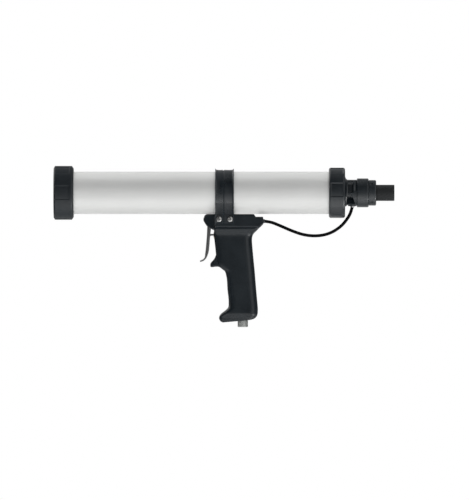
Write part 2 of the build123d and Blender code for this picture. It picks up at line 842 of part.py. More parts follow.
with BuildPart() as handle_block:
    extrude(rounded_outline(handle_frame, block_outline), amount=block_half_width, both=True)
    extrude(rounded_outline(plan_frame, block_plan), amount=2 * block_height, both=True, mode=Mode.INTERSECT)
    # saddle wings under the strap
    with BuildSketch(Plane.YZ.offset(strap_x - saddle_half_length)):
        with Locations((0, block_top_z - cut_over)):
            Rectangle(2 * block_half_width, saddle_height + cut_over, align=(Align.CENTER, Align.MIN))
    extrude(amount=2 * saddle_half_length)
    bore(barrel_frame, barrel_front_x, barrel_rear_x, barrel_seat_r)
    # slot and pin hole for the trigger
    with BuildSketch(Plane.XZ):
        with Locations((slot_front_x, slot_top_z)):
            Rectangle(grip_front_x + cut_over - slot_front_x, 20, align=(Align.MIN, Align.MAX))
    extrude(amount=slot_half_width, both=True, mode=Mode.SUBTRACT)
    bore(pivot_frame, -block_half_width, block_half_width, pin_r + press_gap)
    for x, side in strap_screw_places:
        insert_frame = side_frame(x, block_half_width, strap_screw_z, side)
        bore(insert_frame, -insert_hole_depth, cut_over, insert_r + press_gap)
    # counterbored holes for the screws into the grip
    for screw_frame in block_screw_frames:
        bore(screw_frame, screw_seat_z, 0, block_screw_head_r + 2 * seat_gap)
        bore(screw_frame, block_bottom_z - cut_over, screw_seat_z + cut_over, screw_shank_r + seat_gap)
    # air way from the valve to the hose
    bore(outlet_frame, block_bottom_z - cut_over, hose_start.Z, air_way_r)
    bore(handle_hose_frame, outlet_way_x - hose_start.X, cut_over, air_way_r)
    bore(handle_hose_frame, 0, handle_collar_length + cut_over, collar_r + seat_gap)
save(handle_block.part, "handle_block")

# ---------------------------------------------------------------- grip
grip_outline = (
    (grip_front, 0, 0.0),
    (grip_front, -7.6, 8.0),
    (grip_front + 2.9, grip_shelf_level + 10.6, 8.0),
    (grip_shelf_front, grip_shelf_level + 0.8, 1.6),
    (grip_shelf_front + 0.2, grip_shelf_level - 3.0, 1.9),
    (back_place(grip_shelf_level) - grip_lower_depth, grip_shelf_level - 1.0, 8.0),
    (back_place(18.9 - grip_height) - grip_lower_depth, 18.9 - grip_height, 8.0),
    (back_place(-grip_height) - grip_toe_reach, grip_toe_rise - grip_height, 2.5),
    (back_place(-grip_height) - grip_toe_reach + 3.2, -grip_height, 3.0),
    (back_place(4.2 - grip_height), 4.2 - grip_height, 12.0),
    (grip_back, grip_back_level, 10.0),
    (block_shoulder_rear, 0, 0.0),
)
shoulder_half_width = block_half_width - shoulder_inset


def grip_section(level, length, depth):
    """Rounded prism along the leaning back of the grip, from a level downwards or upwards."""
    plane = Plane(
        origin=(strap_x + back_place(level), 0, block_bottom_z + level),
        x_dir=(math.cos(grip_lean), 0, math.sin(grip_lean)),
        z_dir=(math.sin(grip_lean), 0, -math.cos(grip_lean)),
    )
    with BuildSketch(plane) as section:
        RectangleRounded(depth, 2 * grip_half_width, grip_corner_r, align=(Align.MAX, Align.CENTER))
    extrude(section.sketch, amount=length)


with BuildPart() as grip:
    grip_section(grip_shelf_level, grip_height, grip_lower_depth)
    grip_section(grip_shelf_level, -grip_height, grip_upper_depth)
    # shoulder that widens up to the block
    with BuildSketch(Plane.YZ.offset(grip_front_x - cut_over)):
        with BuildLine():
            Polyline(
                (-shoulder_half_width, block_bottom_z),
                (shoulder_half_width, block_bottom_z),
                (grip_half_width - shoulder_inset, block_bottom_z - shoulder_height),
                (shoulder_inset - grip_half_width, block_bottom_z - shoulder_height),
                close=True,
            )
        make_face()
    extrude(amount=block_shoulder_rear - grip_front + 2 * cut_over)
    extrude(rounded_outline(handle_frame, grip_outline), amount=grip_fin_half_width, both=True)
    extrude(
        rounded_outline(handle_frame, grip_outline),
        amount=block_half_width,
        both=True,
        mode=Mode.INTERSECT,
    )
    # valve bore from the front, then the chamber behind it
    bore(valve_frame, grip_front_x - cut_over, gland_rear_x, gland_r)
    bore(valve_frame, gland_rear_x, valve_bore_end_x, valve_bore_r)
    # inlet thread, filter chamber and the way up to the valve
    bore(inlet_frame, inlet_bottom_z, inlet_top_z, inlet_r + seat_gap)
    bore(inlet_frame, inlet_top_z, inlet_chamber_top_z, filter_r + seat_gap)
    bore(inlet_frame, inlet_chamber_top_z, valve_z, inlet_hole_r)
    # outlet way up to the block, with the seal's groove round its mouth
    bore(outlet_frame, valve_z, block_bottom_z, air_way_r)
    passage_groove_half = passage_seal_section + seat_gap
    turn(
        outlet_frame,
        (block_bottom_z - 2 * passage_seal_section, passage_seal_r - passage_groove_half),
        (block_bottom_z - 2 * passage_seal_section, passage_seal_r + passage_groove_half),
        (block_bottom_z + cut_over, passage_seal_r + passage_groove_half),
        (block_bottom_z + cut_over, passage_seal_r - passage_groove_half),
        mode=Mode.SUBTRACT,
    )
    screw_hole_end_z = block_bottom_z - block_screw_bite - cut_over
    for screw_frame in block_screw_frames:
        bore(screw_frame, screw_hole_end_z, block_bottom_z, screw_shank_r + seat_gap)
save(grip.part, "grip")
save(
    seal_ring(
        outlet_frame,
        block_bottom_z - passage_seal_section,
        passage_seal_r + passage_seal_section - press_gap,
        passage_seal_section - press_gap,
    ),
    "passage_seal",
)

with BuildPart() as block_screws:
    for screw_frame in block_screw_frames:
        turn(
            screw_frame,
            (block_bottom_z - block_screw_bite, 0),
            (block_bottom_z - block_screw_bite, screw_shank_r),
            (screw_seat_z, screw_shank_r),
            (screw_seat_z, block_screw_head_r),
            (screw_seat_z + block_screw_head_height, block_screw_head_r),
            (screw_seat_z + block_screw_head_height, 0),
        )
        with BuildSketch(Plane.XY.offset(screw_seat_z + block_screw_head_height)) as socket:
            with Locations((screw_frame.origin.X, screw_frame.origin.Y)):
                RegularPolygon(block_screw_hex_r, 6)
        extrude(socket.sketch, amount=-block_screw_head_height / 2, mode=Mode.SUBTRACT)
save(block_screws.part, "block_screws")

# ---------------------------------------------------------------- air inlet
with BuildPart() as inlet_adaptor:
    turn(
        inlet_frame,
        (inlet_bottom_z, inlet_bore_r),
        (inlet_bottom_z, inlet_r - inlet_bevel),
        (inlet_bottom_z + inlet_bevel, inlet_r),
        (inlet_relief_z, inlet_r),
        (inlet_relief_z, inlet_r - inlet_relief_depth),
        (inlet_relief_z + inlet_relief_length, inlet_r - inlet_relief_depth),
        (inlet_relief_z + inlet_relief_length, inlet_r),
        *groove(inlet_seal_z, inlet_r, inlet_seal_section),
        (inlet_top_z, inlet_r),
        (inlet_top_z, inlet_hole_r),
        (inlet_bottom_z + inlet_bore_depth, inlet_hole_r),
        (inlet_bottom_z + inlet_bore_depth, inlet_bore_r),
    )
save(inlet_adaptor.part, "inlet_adaptor")
save(seal_ring(inlet_frame, inlet_seal_z, inlet_r, inlet_seal_section), "inlet_seal")

with BuildPart() as inlet_filter:
    turn(
        inlet_frame,
        (inlet_top_z, filter_r - filter_wall - filter_step),
        (inlet_top_z, filter_r),
        (inlet_top_z + filter_flange, filter_r),
        (inlet_top_z + filter_flange, filter_r - filter_step),
        (inlet_chamber_top_z, filter_tip_r),
        (inlet_chamber_top_z, 0),
        (inlet_chamber_top_z - filter_wall, 0),
        (inlet_chamber_top_z - filter_wall, filter_tip_r - filter_wall),
    )
save(inlet_filter.part, "inlet_filter")

# ---------------------------------------------------------------- trigger and valve
# Outlines from the pivot. The channel is cut from behind, which leaves the sheet in front and at the sides.
web_low = -20.1
web_low_x = trigger_face + trigger_rake * (web_low + trigger_web_drop)
trigger_outline = (
    (trigger_face, -trigger_web_drop, 0.0),
    (web_low_x, web_low, 60.0),
    (web_low_x - 1.1, -trigger_knee, 12.0),
    (-7.4, -44.6, 6.0),
    (-12.1, -46.4, 0.5),
    (-12.1, -48.0, 0.5),
    (-5.5, -46.0, 6.0),
    (-1.6, -trigger_knee - 0.6, 12.0),
    (1.0, web_low, 60.0),
    (2.5, -trigger_web_drop, 0.0),
    (2.5, 0, 0.0),
    (trigger_face, 0, 0.0),
)
channel_outline = (
    (trigger_face + trigger_sheet, 2 * trigger_eye_r, 0.0),
    (trigger_face + trigger_sheet, -trigger_web_drop, 0.0),
    (web_low_x + trigger_sheet, web_low, 0.0),
    (web_low_x + trigger_sheet - 0.9, -trigger_channel_end, 0.0),
    (2 * trigger_eye_r, -trigger_channel_end, 0.0),
    (2 * trigger_eye_r, 2 * trigger_eye_r, 0.0),
)
with BuildPart() as trigger:
    extrude(rounded_outline(trigger_frame, trigger_outline), amount=trigger_half_width, both=True)
    bore(pivot_frame, -trigger_half_width, trigger_half_width, trigger_eye_r, mode=Mode.ADD)
    extrude(
        rounded_outline(trigger_frame, channel_outline),
        amount=trigger_half_width - trigger_sheet,
        both=True,
        mode=Mode.SUBTRACT,
    )
    bore(pivot_frame, -trigger_half_width, trigger_half_width, pin_r + run_gap)
save(trigger.part, "trigger")

with BuildPart() as trigger_pin:
    bore(pivot_frame, 2 * face_gap - nose_half_width, nose_half_width - 2 * face_gap, pin_r, mode=Mode.ADD)
save(trigger_pin.part, "trigger_pin")

with BuildPart() as valve_gland:
    turn(
        valve_frame,
        (valve_front_x, spindle_r + run_gap),
        (valve_front_x, gland_r - seat_gap),
        (gland_rear_x, gland_r - seat_gap),
        (gland_rear_x, gland_seal_seat_r),
        (gland_rear_x - gland_seal_seat, gland_seal_seat_r),
        (gland_rear_x - gland_seal_seat, spindle_r + run_gap),
    )
    bar(
        Plane(origin=(valve_front_x, 0, valve_z), x_dir=(0, 1, 0), z_dir=(1, 0, 0)),
        2 * gland_r,
        gland_slot_width,
        gland_slot_depth,
        mode=Mode.SUBTRACT,
    )
save(valve_gland.part, "valve_gland")
save(
    seal_ring(
        valve_frame,
        gland_rear_x - gland_seal_seat / 2,
        gland_seal_seat_r - press_gap,
        gland_seal_section - press_gap,
    ),
    "gland_seal",
)

with BuildPart() as valve_spindle:
    turn(
        valve_frame,
        (spindle_front_x, 0),
        (spindle_front_x + face_gap, spindle_tip_r),
        (spindle_front_x + spindle_nose_length, spindle_r),
        (spindle_rear_x, spindle_r),
        (spindle_rear_x, 0),
    )
save(valve_spindle.part, "valve_spindle")

with BuildPart() as valve_seat:
    turn(
        valve_frame,
        (seat_front_x, valve_seat_bore_r),
        (seat_front_x, valve_bore_r - seat_gap),
        (seat_rear_x, valve_bore_r - seat_gap),
        (seat_rear_x, valve_seat_bore_r),
    )
save(valve_seat.part, "valve_seat")

with BuildPart() as valve_poppet:
    turn(
        valve_frame,
        (valve_poppet_x, spindle_r),
        (valve_poppet_x, valve_poppet_r),
        (valve_poppet_rear_x, valve_poppet_r),
        (valve_poppet_rear_x, spindle_r),
    )
save(valve_poppet.part, "valve_poppet")
save(
    coil_spring(
        valve_poppet_rear_x, valve_bore_end_x, valve_z, valve_spring_r, valve_spring_wire, valve_spring_turns
    ),
    "valve_spring",
)

# ---------------------------------------------------------------- air hose and its collars
hose_points = [Vector(x, 0, z) for x, z in hose_route]
hose_runs = [b - a for a, b in zip(hose_points, hose_points[1:])]
hose_radii = []
for before, after in zip(hose_runs, hose_runs[1:]):
    half_turn = math.radians(before.get_angle(after)) / 2
    hose_radii.append(hose_arc_share * min(before.length, after.length) / math.tan(half_turn))

with BuildPart() as air_hose:
    with BuildLine():
        hose_path = FilletPolyline(*hose_points, radius=hose_radii)
    with BuildSketch(Plane(origin=hose_path @ 0, z_dir=hose_path % 0)):
        Circle(hose_r)
    sweep(path=hose_path)
save(air_hose.part, "air_hose")
print("hose radii", [round(r, 1) for r in hose_radii])
print("hose length", round(hose_path.length, 2))
print("hose volume over section x length", air_hose.part.volume / (math.pi * hose_r**2 * hose_path.length))

for frame, collar_length, label in (
    (handle_hose_frame, handle_collar_length, "handle_hose_collar"),
    (body_hose_frame, body_collar_length, "body_hose_collar"),
):
    with BuildPart() as hose_collar:
        turn(
            frame,
            (0, hose_r + seat_gap),
            (0, collar_r),
            (collar_length - collar_bevel, collar_r),
            (collar_length, collar_r - collar_bevel),
            (collar_length, hose_r + seat_gap),
        )
    save(hose_collar.part, label)
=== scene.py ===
"""Looks of an air-powered caulking gun, made round its packed mechanical model.

Everything is in metres in the model's own frame: the barrel's axis is X with the front cap at 0 and
the exhaust at the rear, +Z is up, and -Y is the side that the camera faces. Lengths that are written
here are in millimetres times MM, and places come from the boxes of the model's nodes.
"""

import json
import logging
import math
from collections.abc import Callable, Sequence
from dataclasses import dataclass
from enum import Enum

import bmesh
import bpy
import numpy as np
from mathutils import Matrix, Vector


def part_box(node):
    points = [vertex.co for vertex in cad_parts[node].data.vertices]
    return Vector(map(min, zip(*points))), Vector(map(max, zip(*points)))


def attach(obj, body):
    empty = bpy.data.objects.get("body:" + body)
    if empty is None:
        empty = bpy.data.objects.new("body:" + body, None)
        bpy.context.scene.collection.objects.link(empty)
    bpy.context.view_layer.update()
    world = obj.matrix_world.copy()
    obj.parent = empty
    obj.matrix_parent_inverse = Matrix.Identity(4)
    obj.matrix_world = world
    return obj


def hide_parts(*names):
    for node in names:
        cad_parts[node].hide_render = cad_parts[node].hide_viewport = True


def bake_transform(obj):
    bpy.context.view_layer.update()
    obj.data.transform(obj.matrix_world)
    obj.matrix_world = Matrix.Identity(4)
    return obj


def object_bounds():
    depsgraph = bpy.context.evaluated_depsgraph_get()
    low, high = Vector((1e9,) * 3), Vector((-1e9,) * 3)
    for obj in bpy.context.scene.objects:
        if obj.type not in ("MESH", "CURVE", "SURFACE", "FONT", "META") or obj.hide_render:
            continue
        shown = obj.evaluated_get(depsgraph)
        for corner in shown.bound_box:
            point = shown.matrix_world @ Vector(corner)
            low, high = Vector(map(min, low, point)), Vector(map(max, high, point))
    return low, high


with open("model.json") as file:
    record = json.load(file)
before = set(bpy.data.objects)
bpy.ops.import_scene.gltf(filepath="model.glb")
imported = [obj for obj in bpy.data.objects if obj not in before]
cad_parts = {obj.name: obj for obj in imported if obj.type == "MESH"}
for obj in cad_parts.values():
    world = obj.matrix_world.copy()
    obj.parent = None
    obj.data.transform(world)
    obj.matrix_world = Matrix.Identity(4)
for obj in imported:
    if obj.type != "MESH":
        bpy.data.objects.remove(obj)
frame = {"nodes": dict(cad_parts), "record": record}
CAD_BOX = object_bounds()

MM = 0.001
TAU = 2 * math.pi
ARC_STEP = math.radians(15)  # the widest turn between two points of a rounded corner
HOLD = 0.3 * MM  # how far beside a corner a flat run gets a point, so that it shades flat
MERGE = 0.5e-6  # points nearer than this become one
CREASE = math.radians(32)  # an edge that turns more than this looks sharp
NEAR = 0.01 * MM  # radii within this are on the same surface
TINY = 1e-12  # keeps a length from being divided by nothing
ROUND_MOST = 0.98  # the share of a side that its corners may take
WORN = (1 / (5 * MM), 1 / (0.6 * MM))  # bends where wear starts and where it is full
AHEAD = (1.0, 0.0, 0.0)
ACROSS = (0.0, -1.0, 0.0)
WHITE = (1.0, 1.0, 1.0, 1.0)
UP = (0.0, 0.0, 1.0)

Array = np.ndarray
Colour = tuple[float, float, float]
Place = tuple[float, float, float]
Corner = tuple[float, float, float]
Pair = tuple[float, float]
Shape = Callable[[Array, Array, Array], tuple[Array, Array]]
Socket = bpy.types.NodeSocket

log = logging.getLogger("caulking_gun")


class Body(Enum):
    """Bodies of the model that pieces ride on."""

    GUN = "gun_body"
    CAP = "front_cap"
    TRIGGER = "trigger"
    SPINDLE = "valve_spindle"
    KNOB = "regulator_knob"
    PLATE = "spring_plate"
    POPPET = "regulator_poppet"


class Slot(Enum):
    """Material slots of the model."""

    BARREL = "barrel_metal"
    CAP = "cap_plastic"
    HEAD = "body_plastic"
    KNOB = "knob_plastic"
    TUBE = "tube_plastic"
    STRAP = "strap_plastic"
    BLOCK = "block_plastic"
    GRIP = "grip_plastic"
    HOSE = "hose_plastic"
    PISTON = "piston_plastic"
    SEAL = "seal_rubber"
    TRIGGER = "trigger_steel"
    SCREW = "screw_steel"
    INLET = "inlet_metal"
    TURNED = "turned_metal"
    SPRING = "spring_steel"
    BRASS = "brass"
    BRONZE = "porous_bronze"


# ---------------------------------------------------------------- numbers
def ramp(value: Array | float, low: float, high: float) -> Array:
    """Smooth step from 0 at low to 1 at high: t·t·(3 - 2t), where t is the place between them.

    Args:
        value: Numbers to place between low and high.
        low: Where the step starts.
        high: Where it ends.

    Returns:
        One number from 0 to 1 for each value.
    """
    share = np.clip((np.asarray(value, float) - low) / (high - low), 0, 1)
    return share * share * (3 - 2 * share)


def soft_step(value: Array, at: float | Array, soft: float) -> Array:
    """Smooth step from 0 to 1 that is centred on a place and soft wide."""
    return ramp(value, at - soft / 2, at + soft / 2)


def band(value: Array, start: float, end: float, soft: float) -> Array:
    """1 between start and end and 0 outside, changing smoothly over soft at each side.

    Args:
        value: Numbers to test.
        start: Lower side.
        end: Upper side.
        soft: Width of each change, centred on its side.

    Returns:
        One number from 0 to 1 for each value.
    """
    return soft_step(value, start, soft) * (1 - soft_step(value, end, soft))


def from_centre(angle: Array, centre: float, count: int) -> Array:
    """Angle to the nearest of count equally spaced centres, the first of them at centre.

    Args:
        angle: Angles in radians.
        centre: The first centre.
        count: How many centres go round.

    Returns:
        Distances in radians, never negative.
    """
    pitch = TAU / count
    return np.abs((angle - centre + pitch / 2) % pitch - pitch / 2)


def full_turn(count: int) -> Array:
    """Angles that cut a full turn into count equal steps, from 0."""
    return np.arange(count) * TAU / count


def both_sides(count: int, centre: float, half: float) -> Array:
    """Angles of the two sides of each of count equally spaced shapes that reach half either way."""
    centres = centre + full_turn(count)
    return np.concatenate([centres - half, centres + half])


def thread(along: Array, angle: Array, pitch: float) -> Array:
    """Thread as a triangle wave of (distance / pitch - turns), from 0 to 1."""
    return np.abs((along / pitch - angle / TAU) % 1 * 2 - 1)


def round_angles(base: int, edges: Array, spread: float, count: int) -> Array:
    """Angles for a full turn: base equal steps, with count more close round each edge.

    Args:
        base: Number of equal steps.
        edges: Angles where the shape changes quickly.
        spread: How far the extra angles reach to each side of an edge.
        count: Extra angles for each edge.

    Returns:
        Sorted angles from 0 up to, and without, a full turn.
    """
    extra = (np.asarray(edges, float)[:, None] + np.linspace(-spread, spread, count)).ravel()
    every = np.concatenate([full_turn(base), extra % TAU])
    return np.unique(np.round(every, 6))


def circle(turn: Array) -> Array:
    """Points of the unit circle at those angles, one row each."""
    return np.stack([np.cos(turn), np.sin(turn)], axis=1)


def rounded(corners: Sequence[Corner], closed: bool = True) -> Array:
    """Outline through corners, each given as (first, second, radius).

    A corner's arc is tangent to both of its runs. With half the angle between the runs h, it meets
    them at radius / tan(h) from the corner, and its centre lies radius / sin(h) along the bisector.
    Each run also gets a point a little beside its corners, so that it shades flat.

    Args:
        corners: The corners in order.
        closed: Whether the last corner joins the first.

    Returns:
        Points of the outline, one row each.
    """
    table = np.array(corners, float)
    place, radius = table[:, :2], table[:, 2]
    back = np.roll(place, 1, axis=0) - place
    ahead = np.roll(place, -1, axis=0) - place
    back_length = np.linalg.norm(back, axis=1)
    ahead_length = np.linalg.norm(ahead, axis=1)
    back = back / back_length[:, None]
    ahead = ahead / ahead_length[:, None]
    half = np.arccos(np.clip((back * ahead).sum(axis=1), -1, 1)) / 2
    reach = np.where(radius > 0, radius / np.tan(half), 0)
    middle = back + ahead
    middle = middle / np.maximum(np.linalg.norm(middle, axis=1), TINY)[:, None]
    centre = place + middle * (radius / np.sin(half))[:, None]
    line = []
    for i, corner in enumerate(place):
        if not closed and i in (0, len(place) - 1):
            line.append(corner[None])
            continue
        if reach[i] + 2 * HOLD < back_length[i] / 2:
            line.append((corner + back[i] * (reach[i] + HOLD))[None])
        if radius[i] > 0:
            first = corner + back[i] * reach[i] - centre[i]
            last = corner + ahead[i] * reach[i] - centre[i]
            start, end = np.arctan2(first[1], first[0]), np.arctan2(last[1], last[0])
            sweep = (end - start + math.pi) % TAU - math.pi
            turn = start + sweep * np.linspace(0, 1, max(4, math.ceil(abs(sweep) / ARC_STEP)) + 1)
            line.append(centre[i] + radius[i] * circle(turn))
        else:
            line.append(corner[None])
        if reach[i] + 2 * HOLD < ahead_length[i] / 2:
            line.append((corner + ahead[i] * (reach[i] + HOLD))[None])
    return np.concatenate(line)


def with_stations(profile: Array, radius: float, stations: Array) -> Array:
    """Put points at some stations on the longest straight run that a closed profile has at a radius.

    Args:
        profile: Rows of (distance, radius).
        radius: The run's radius.
        stations: Distances for the new points; those outside the run are left out.

    Returns:
        The fuller profile.
    """
    ahead = np.roll(profile, -1, axis=0)
    level = np.maximum(np.abs(profile[:, 1] - radius), np.abs(ahead[:, 1] - radius)) < 1e-9
    i = int(np.argmax(np.where(level, np.abs(ahead[:, 0] - profile[:, 0]), 0)))
    ends = sorted((profile[i, 0], ahead[i, 0]))
    inside = np.unique(stations[(stations > ends[0] + 1e-6) & (stations < ends[1] - 1e-6)])
    inside = inside if ahead[i, 0] > profile[i, 0] else inside[::-1]
    return np.insert(profile, i + 1, np.stack([inside, np.full(len(inside), radius)], axis=1), axis=0)


def through(table: Array, count: int) -> Array:
    """Smooth curve through the rows of a table, every column at once.

    Between two rows it is the cubic Hermite curve whose slope at a row is the mean of the slopes to
    the rows beside it. Rows are spaced by the mean of two distances, the one between their first
    two columns and the one between their next two.

    Args:
        table: Rows to pass through.
        count: Number of rows to return.

    Returns:
        The curve's rows, evenly spaced.
    """
    gap = np.linalg.norm(np.diff(table[:, :2], axis=0), axis=1)
    gap = 0.5 * gap + 0.5 * np.linalg.norm(np.diff(table[:, 2:4], axis=0), axis=1)
    knot = np.concatenate([[0], np.cumsum(gap)])
    rise = np.diff(table, axis=0) / gap[:, None]
    slope = np.concatenate([rise[:1], (rise[1:] + rise[:-1]) / 2, rise[-1:]])
    at = np.linspace(0, knot[-1], count)
    i = np.clip(np.searchsorted(knot, at, side="right") - 1, 0, len(gap) - 1)
    t = ((at - knot[i]) / gap[i])[:, None]
    width = gap[i][:, None]
    return (
        table[i] * (2 * t**3 - 3 * t**2 + 1)
        + slope[i] * width * (t**3 - 2 * t**2 + t)
        + table[i + 1] * (3 * t**2 - 2 * t**3)
        + slope[i + 1] * width * (t**3 - t**2)
    )


# ---------------------------------------------------------------- skins
@dataclass(frozen=True)
class Skin:
    """Points and faces of one closed surface."""

    points: Array
    faces: list[list[int]]


@dataclass(frozen=True)
class Axle:
    """Line that a turned piece goes round.

    Angle 0 is at outward, and a quarter turn is at outward × along.
    """

    origin: Place = (0.0, 0.0, 0.0)
    along: Place = AHEAD
    outward: Place = ACROSS

    def place(self, along: Array, first: Array, second: Array) -> Array:
        """Points at those distances along the axle and along its two directions across."""
        axis, out = np.array(self.along), np.array(self.outward)
        up = np.cross(out, axis)
        return (
            np.array(self.origin)
            + along[..., None] * axis
            + first[..., None] * out
            + second[..., None] * up
        )


BARREL_AXLE = Axle()


def skin(grid: Array, ring_rows: bool = False, ring_columns: bool = True, capped: bool = False) -> Skin:
    """Join a grid of points, rows by columns, into quads.

    Args:
        grid: Points, of shape rows × columns × 3.
        ring_rows: Whether the last row joins the first.
        ring_columns: Whether the last column joins the first.
        capped: Whether the first and last rows are closed by a face each.

    Returns:
        The skin.
    """
    rows, columns = grid.shape[:2]
    index = np.arange(rows * columns).reshape(rows, columns)
    caps = [index[0].tolist(), index[-1].tolist()] if capped else []
    if ring_rows:
        index = np.vstack([index, index[:1]])
    if ring_columns:
        index = np.hstack([index, index[:, :1]])
    quads = np.stack([index[:-1, :-1], index[1:, :-1], index[1:, 1:], index[:-1, 1:]], axis=-1)
    return Skin(grid.reshape(-1, 3), quads.reshape(-1, 4).tolist() + caps)


def turned(
    profile: Array,
    axle: Axle = BARREL_AXLE,
    angles: Array | int = 128,
    solid: bool = False,
    shape: Shape | None = None,
) -> Skin:
    """Surface of a profile turned about an axle.

    The point at profile (a, r) and angle v is origin + a·along + r·(cos v·outward + sin v·upward),
    after shape has changed a and r for each angle.

    Args:
        profile: Rows of (distance along the axle, radius).
        axle: The line it goes round.
        angles: The angles, or how many equal steps.
        solid: Whether the profile starts and ends on the axle.
        shape: Gives new distances and radii for (distances, radii, angles).

    Returns:
        The skin.
    """
    turn = full_turn(angles) if isinstance(angles, int) else angles
    along, turn = np.meshgrid(profile[:, 0], turn, indexing="ij")
    radius = np.broadcast_to(profile[:, 1:2], along.shape)
    if shape is not None:
        along, radius = shape(along, radius, turn)
    grid = axle.place(along, radius * np.cos(turn), radius * np.sin(turn))
    return skin(grid, ring_rows=not solid)


def carried(profile: Array, path: Array, across: Place, outward: Array | Place) -> Skin:
    """Closed profile carried along an open path, with a flat face at each end.

    The point at profile (p, q) and station i is path[i] + p·across + q·outward[i].

    Args:
        profile: Rows of (across, outward).
        path: Stations of the path.
        across: Direction of the profile's first number, the same at every station.
        outward: Direction of its second number, one for each station or one for all.

    Returns:
        The skin.
    """
    out = np.broadcast_to(outward, path.shape)
    grid = path[:, None] + profile[:, :1] * np.array(across) + profile[:, 1:] * out[:, None]
    return skin(grid, capped=True)


def upright(low: Array, unit: Array, away: Array, side: Array) -> Skin:
    """Sections that stand across the gun's middle plane, joined in a row, with a flat face at each end.

    Args:
        low: Rows of (x, z), where each section starts.
        unit: Direction of each section in the plane.
        away: Distances from low in that direction, for the half of the outline on the +Y side.
        side: Distances from the plane, for the same half; the other half mirrors it.

    Returns:
        The skin.
    """
    away, side = np.hstack([away, away[:, -2:0:-1]]), np.hstack([side, -side[:, -2:0:-1]])
    grid = np.stack([low[:, :1] + away * unit[:, :1], side, low[:, 1:] + away * unit[:, 1:]], axis=-1)
    return skin(grid, capped=True)


@dataclass(frozen=True)
class Notch:
    """Slot of a loft's low edge: its half width, and its depth at each station."""

    half_width: float
    depth: Array


def loft(
    low: Array,
    high: Array,
    half_width: Array,
    low_radius: Array,
    high_radius: Array,
    notch: Notch | None = None,
) -> Skin:
    """Rounded rectangles that stand across the gun's middle plane, joined in a row.

    Station i is a rectangle from low[i] to high[i] in the plane y = 0, and half_width[i] to each
    side. Its corners are quarter circles: at the low end c = r - r·cos v, y = h - r + r·sin v, for
    v from 0 to a quarter turn, where c is the distance from low, and the same at the high end.

    Args:
        low: Rows of (x, z).
        high: Rows of (x, z).
        half_width: Half the width along Y.
        low_radius: Radius of the corners at the low end.
        high_radius: Radius of the corners at the high end.
        notch: Slot along the low edge.

    Returns:
        The skin.
    """
    span = np.linalg.norm(high - low, axis=1)
    unit = (high - low) / span[:, None]
    most = np.minimum(half_width, span / 2) * ROUND_MOST
    r0, r1 = np.minimum(low_radius, most)[:, None], np.minimum(high_radius, most)[:, None]
    h, d = half_width[:, None], span[:, None]
    v = np.linspace(0, TAU / 4, 9)[None]
    t = np.linspace(0, 1, 9)[None, 1:-1]
    zero = np.zeros((len(low), 1))
    if notch is None:
        c, y = [zero + 0 * t], [(h - r0) * t]
    else:
        cut, n = notch.depth[:, None], np.minimum(notch.half_width, (h - r0) * ROUND_MOST)
        c = [cut + 0 * t, cut * (1 - t), zero + 0 * t]
        y = [n * t, n + 0 * t, n + (h - r0 - n) * t]
        zero = zero + cut
    c = [zero, *c, r0 - r0 * np.cos(v), r0 + (d - r0 - r1) * t, d - r1 + r1 * np.sin(v), d + 0 * t, d]
    y = [0 * d, *y, h - r0 + r0 * np.sin(v), h + 0 * t, h - r1 + r1 * np.cos(v), (h - r1) * (1 - t), 0 * d]
    return upright(low, unit, np.hstack(c), np.hstack(y))


def mark_wear(mesh: bpy.types.Mesh) -> None:
    """Store in the attribute wear how tightly the surface bends outwards at each vertex.

    Along an edge from a to b the bend is (normal at b - normal at a)·(b - a) / |b - a|². A vertex
    takes the mean of its edges, which goes from 0 at a radius of 5 mm to 1 at 0.6 mm.

    Args:
        mesh: The mesh to mark.
    """
    count = len(mesh.vertices)
    place, normal = np.empty(count * 3, np.float32), np.empty(count * 3, np.float32)
    ends = np.empty(len(mesh.edges) * 2, np.int32)
    mesh.vertices.foreach_get("co", place)
    mesh.vertices.foreach_get("normal", normal)
    mesh.edges.foreach_get("vertices", ends)
    place, normal, ends = place.reshape(-1, 3), normal.reshape(-1, 3), ends.reshape(-1, 2)
    step = place[ends[:, 1]] - place[ends[:, 0]]
    turn = normal[ends[:, 1]] - normal[ends[:, 0]]
    bend = (step * turn).sum(axis=1) / np.maximum((step * step).sum(axis=1), TINY)
    total = np.bincount(ends.ravel(), weights=np.repeat(bend, 2), minlength=count)
    shared = np.maximum(np.bincount(ends.ravel(), minlength=count), 1)
    wear = ramp(total / shared, *WORN)
    mesh.attributes.new("wear", "FLOAT", "POINT").data.foreach_set("value", wear.astype(np.float32))


def mesh_piece(name: str, *skins: Skin) -> bpy.types.Object:
    """Make one object of closed skins, with seams and poles merged and its faces outwards.

    Args:
        name: The piece's name.
        skins: Its surfaces.

    Returns:
        The object, at the origin.
    """
    starts = np.cumsum([0] + [len(s.points) for s in skins])
    faces = [[i + start for i in face] for s, start in zip(skins, starts.tolist()) for face in s.faces]
    mesh = bpy.data.meshes.new(name)
    mesh.from_pydata(np.concatenate([s.points for s in skins]), [], faces)
    work = bmesh.new()
    work.from_mesh(mesh)
    bmesh.ops.remove_doubles(work, verts=work.verts, dist=MERGE)
    bmesh.ops.dissolve_degenerate(work, edges=work.edges, dist=MERGE / 5)
    bmesh.ops.recalc_face_normals(work, faces=work.faces)
    work.to_mesh(mesh)
    work.free()
    mesh.polygons.foreach_set("use_smooth", np.ones(len(mesh.polygons), bool))
    mesh.set_sharp_from_angle(angle=CREASE)
    mark_wear(mesh)
    piece = bpy.data.objects.new(name, mesh)
    bpy.context.scene.collection.objects.link(piece)
    return piece


# ---------------------------------------------------------------- finishes
def opaque(value: object) -> object:
    """Give a colour its fourth number; anything else stays as it is."""
    return (*value, 1.0) if isinstance(value, tuple) and len(value) == 3 else value


def shade(colour: Colour, by: float) -> Colour:
    """A colour made lighter or darker by a factor."""
    return tuple(min(1.0, c * by) for c in colour)


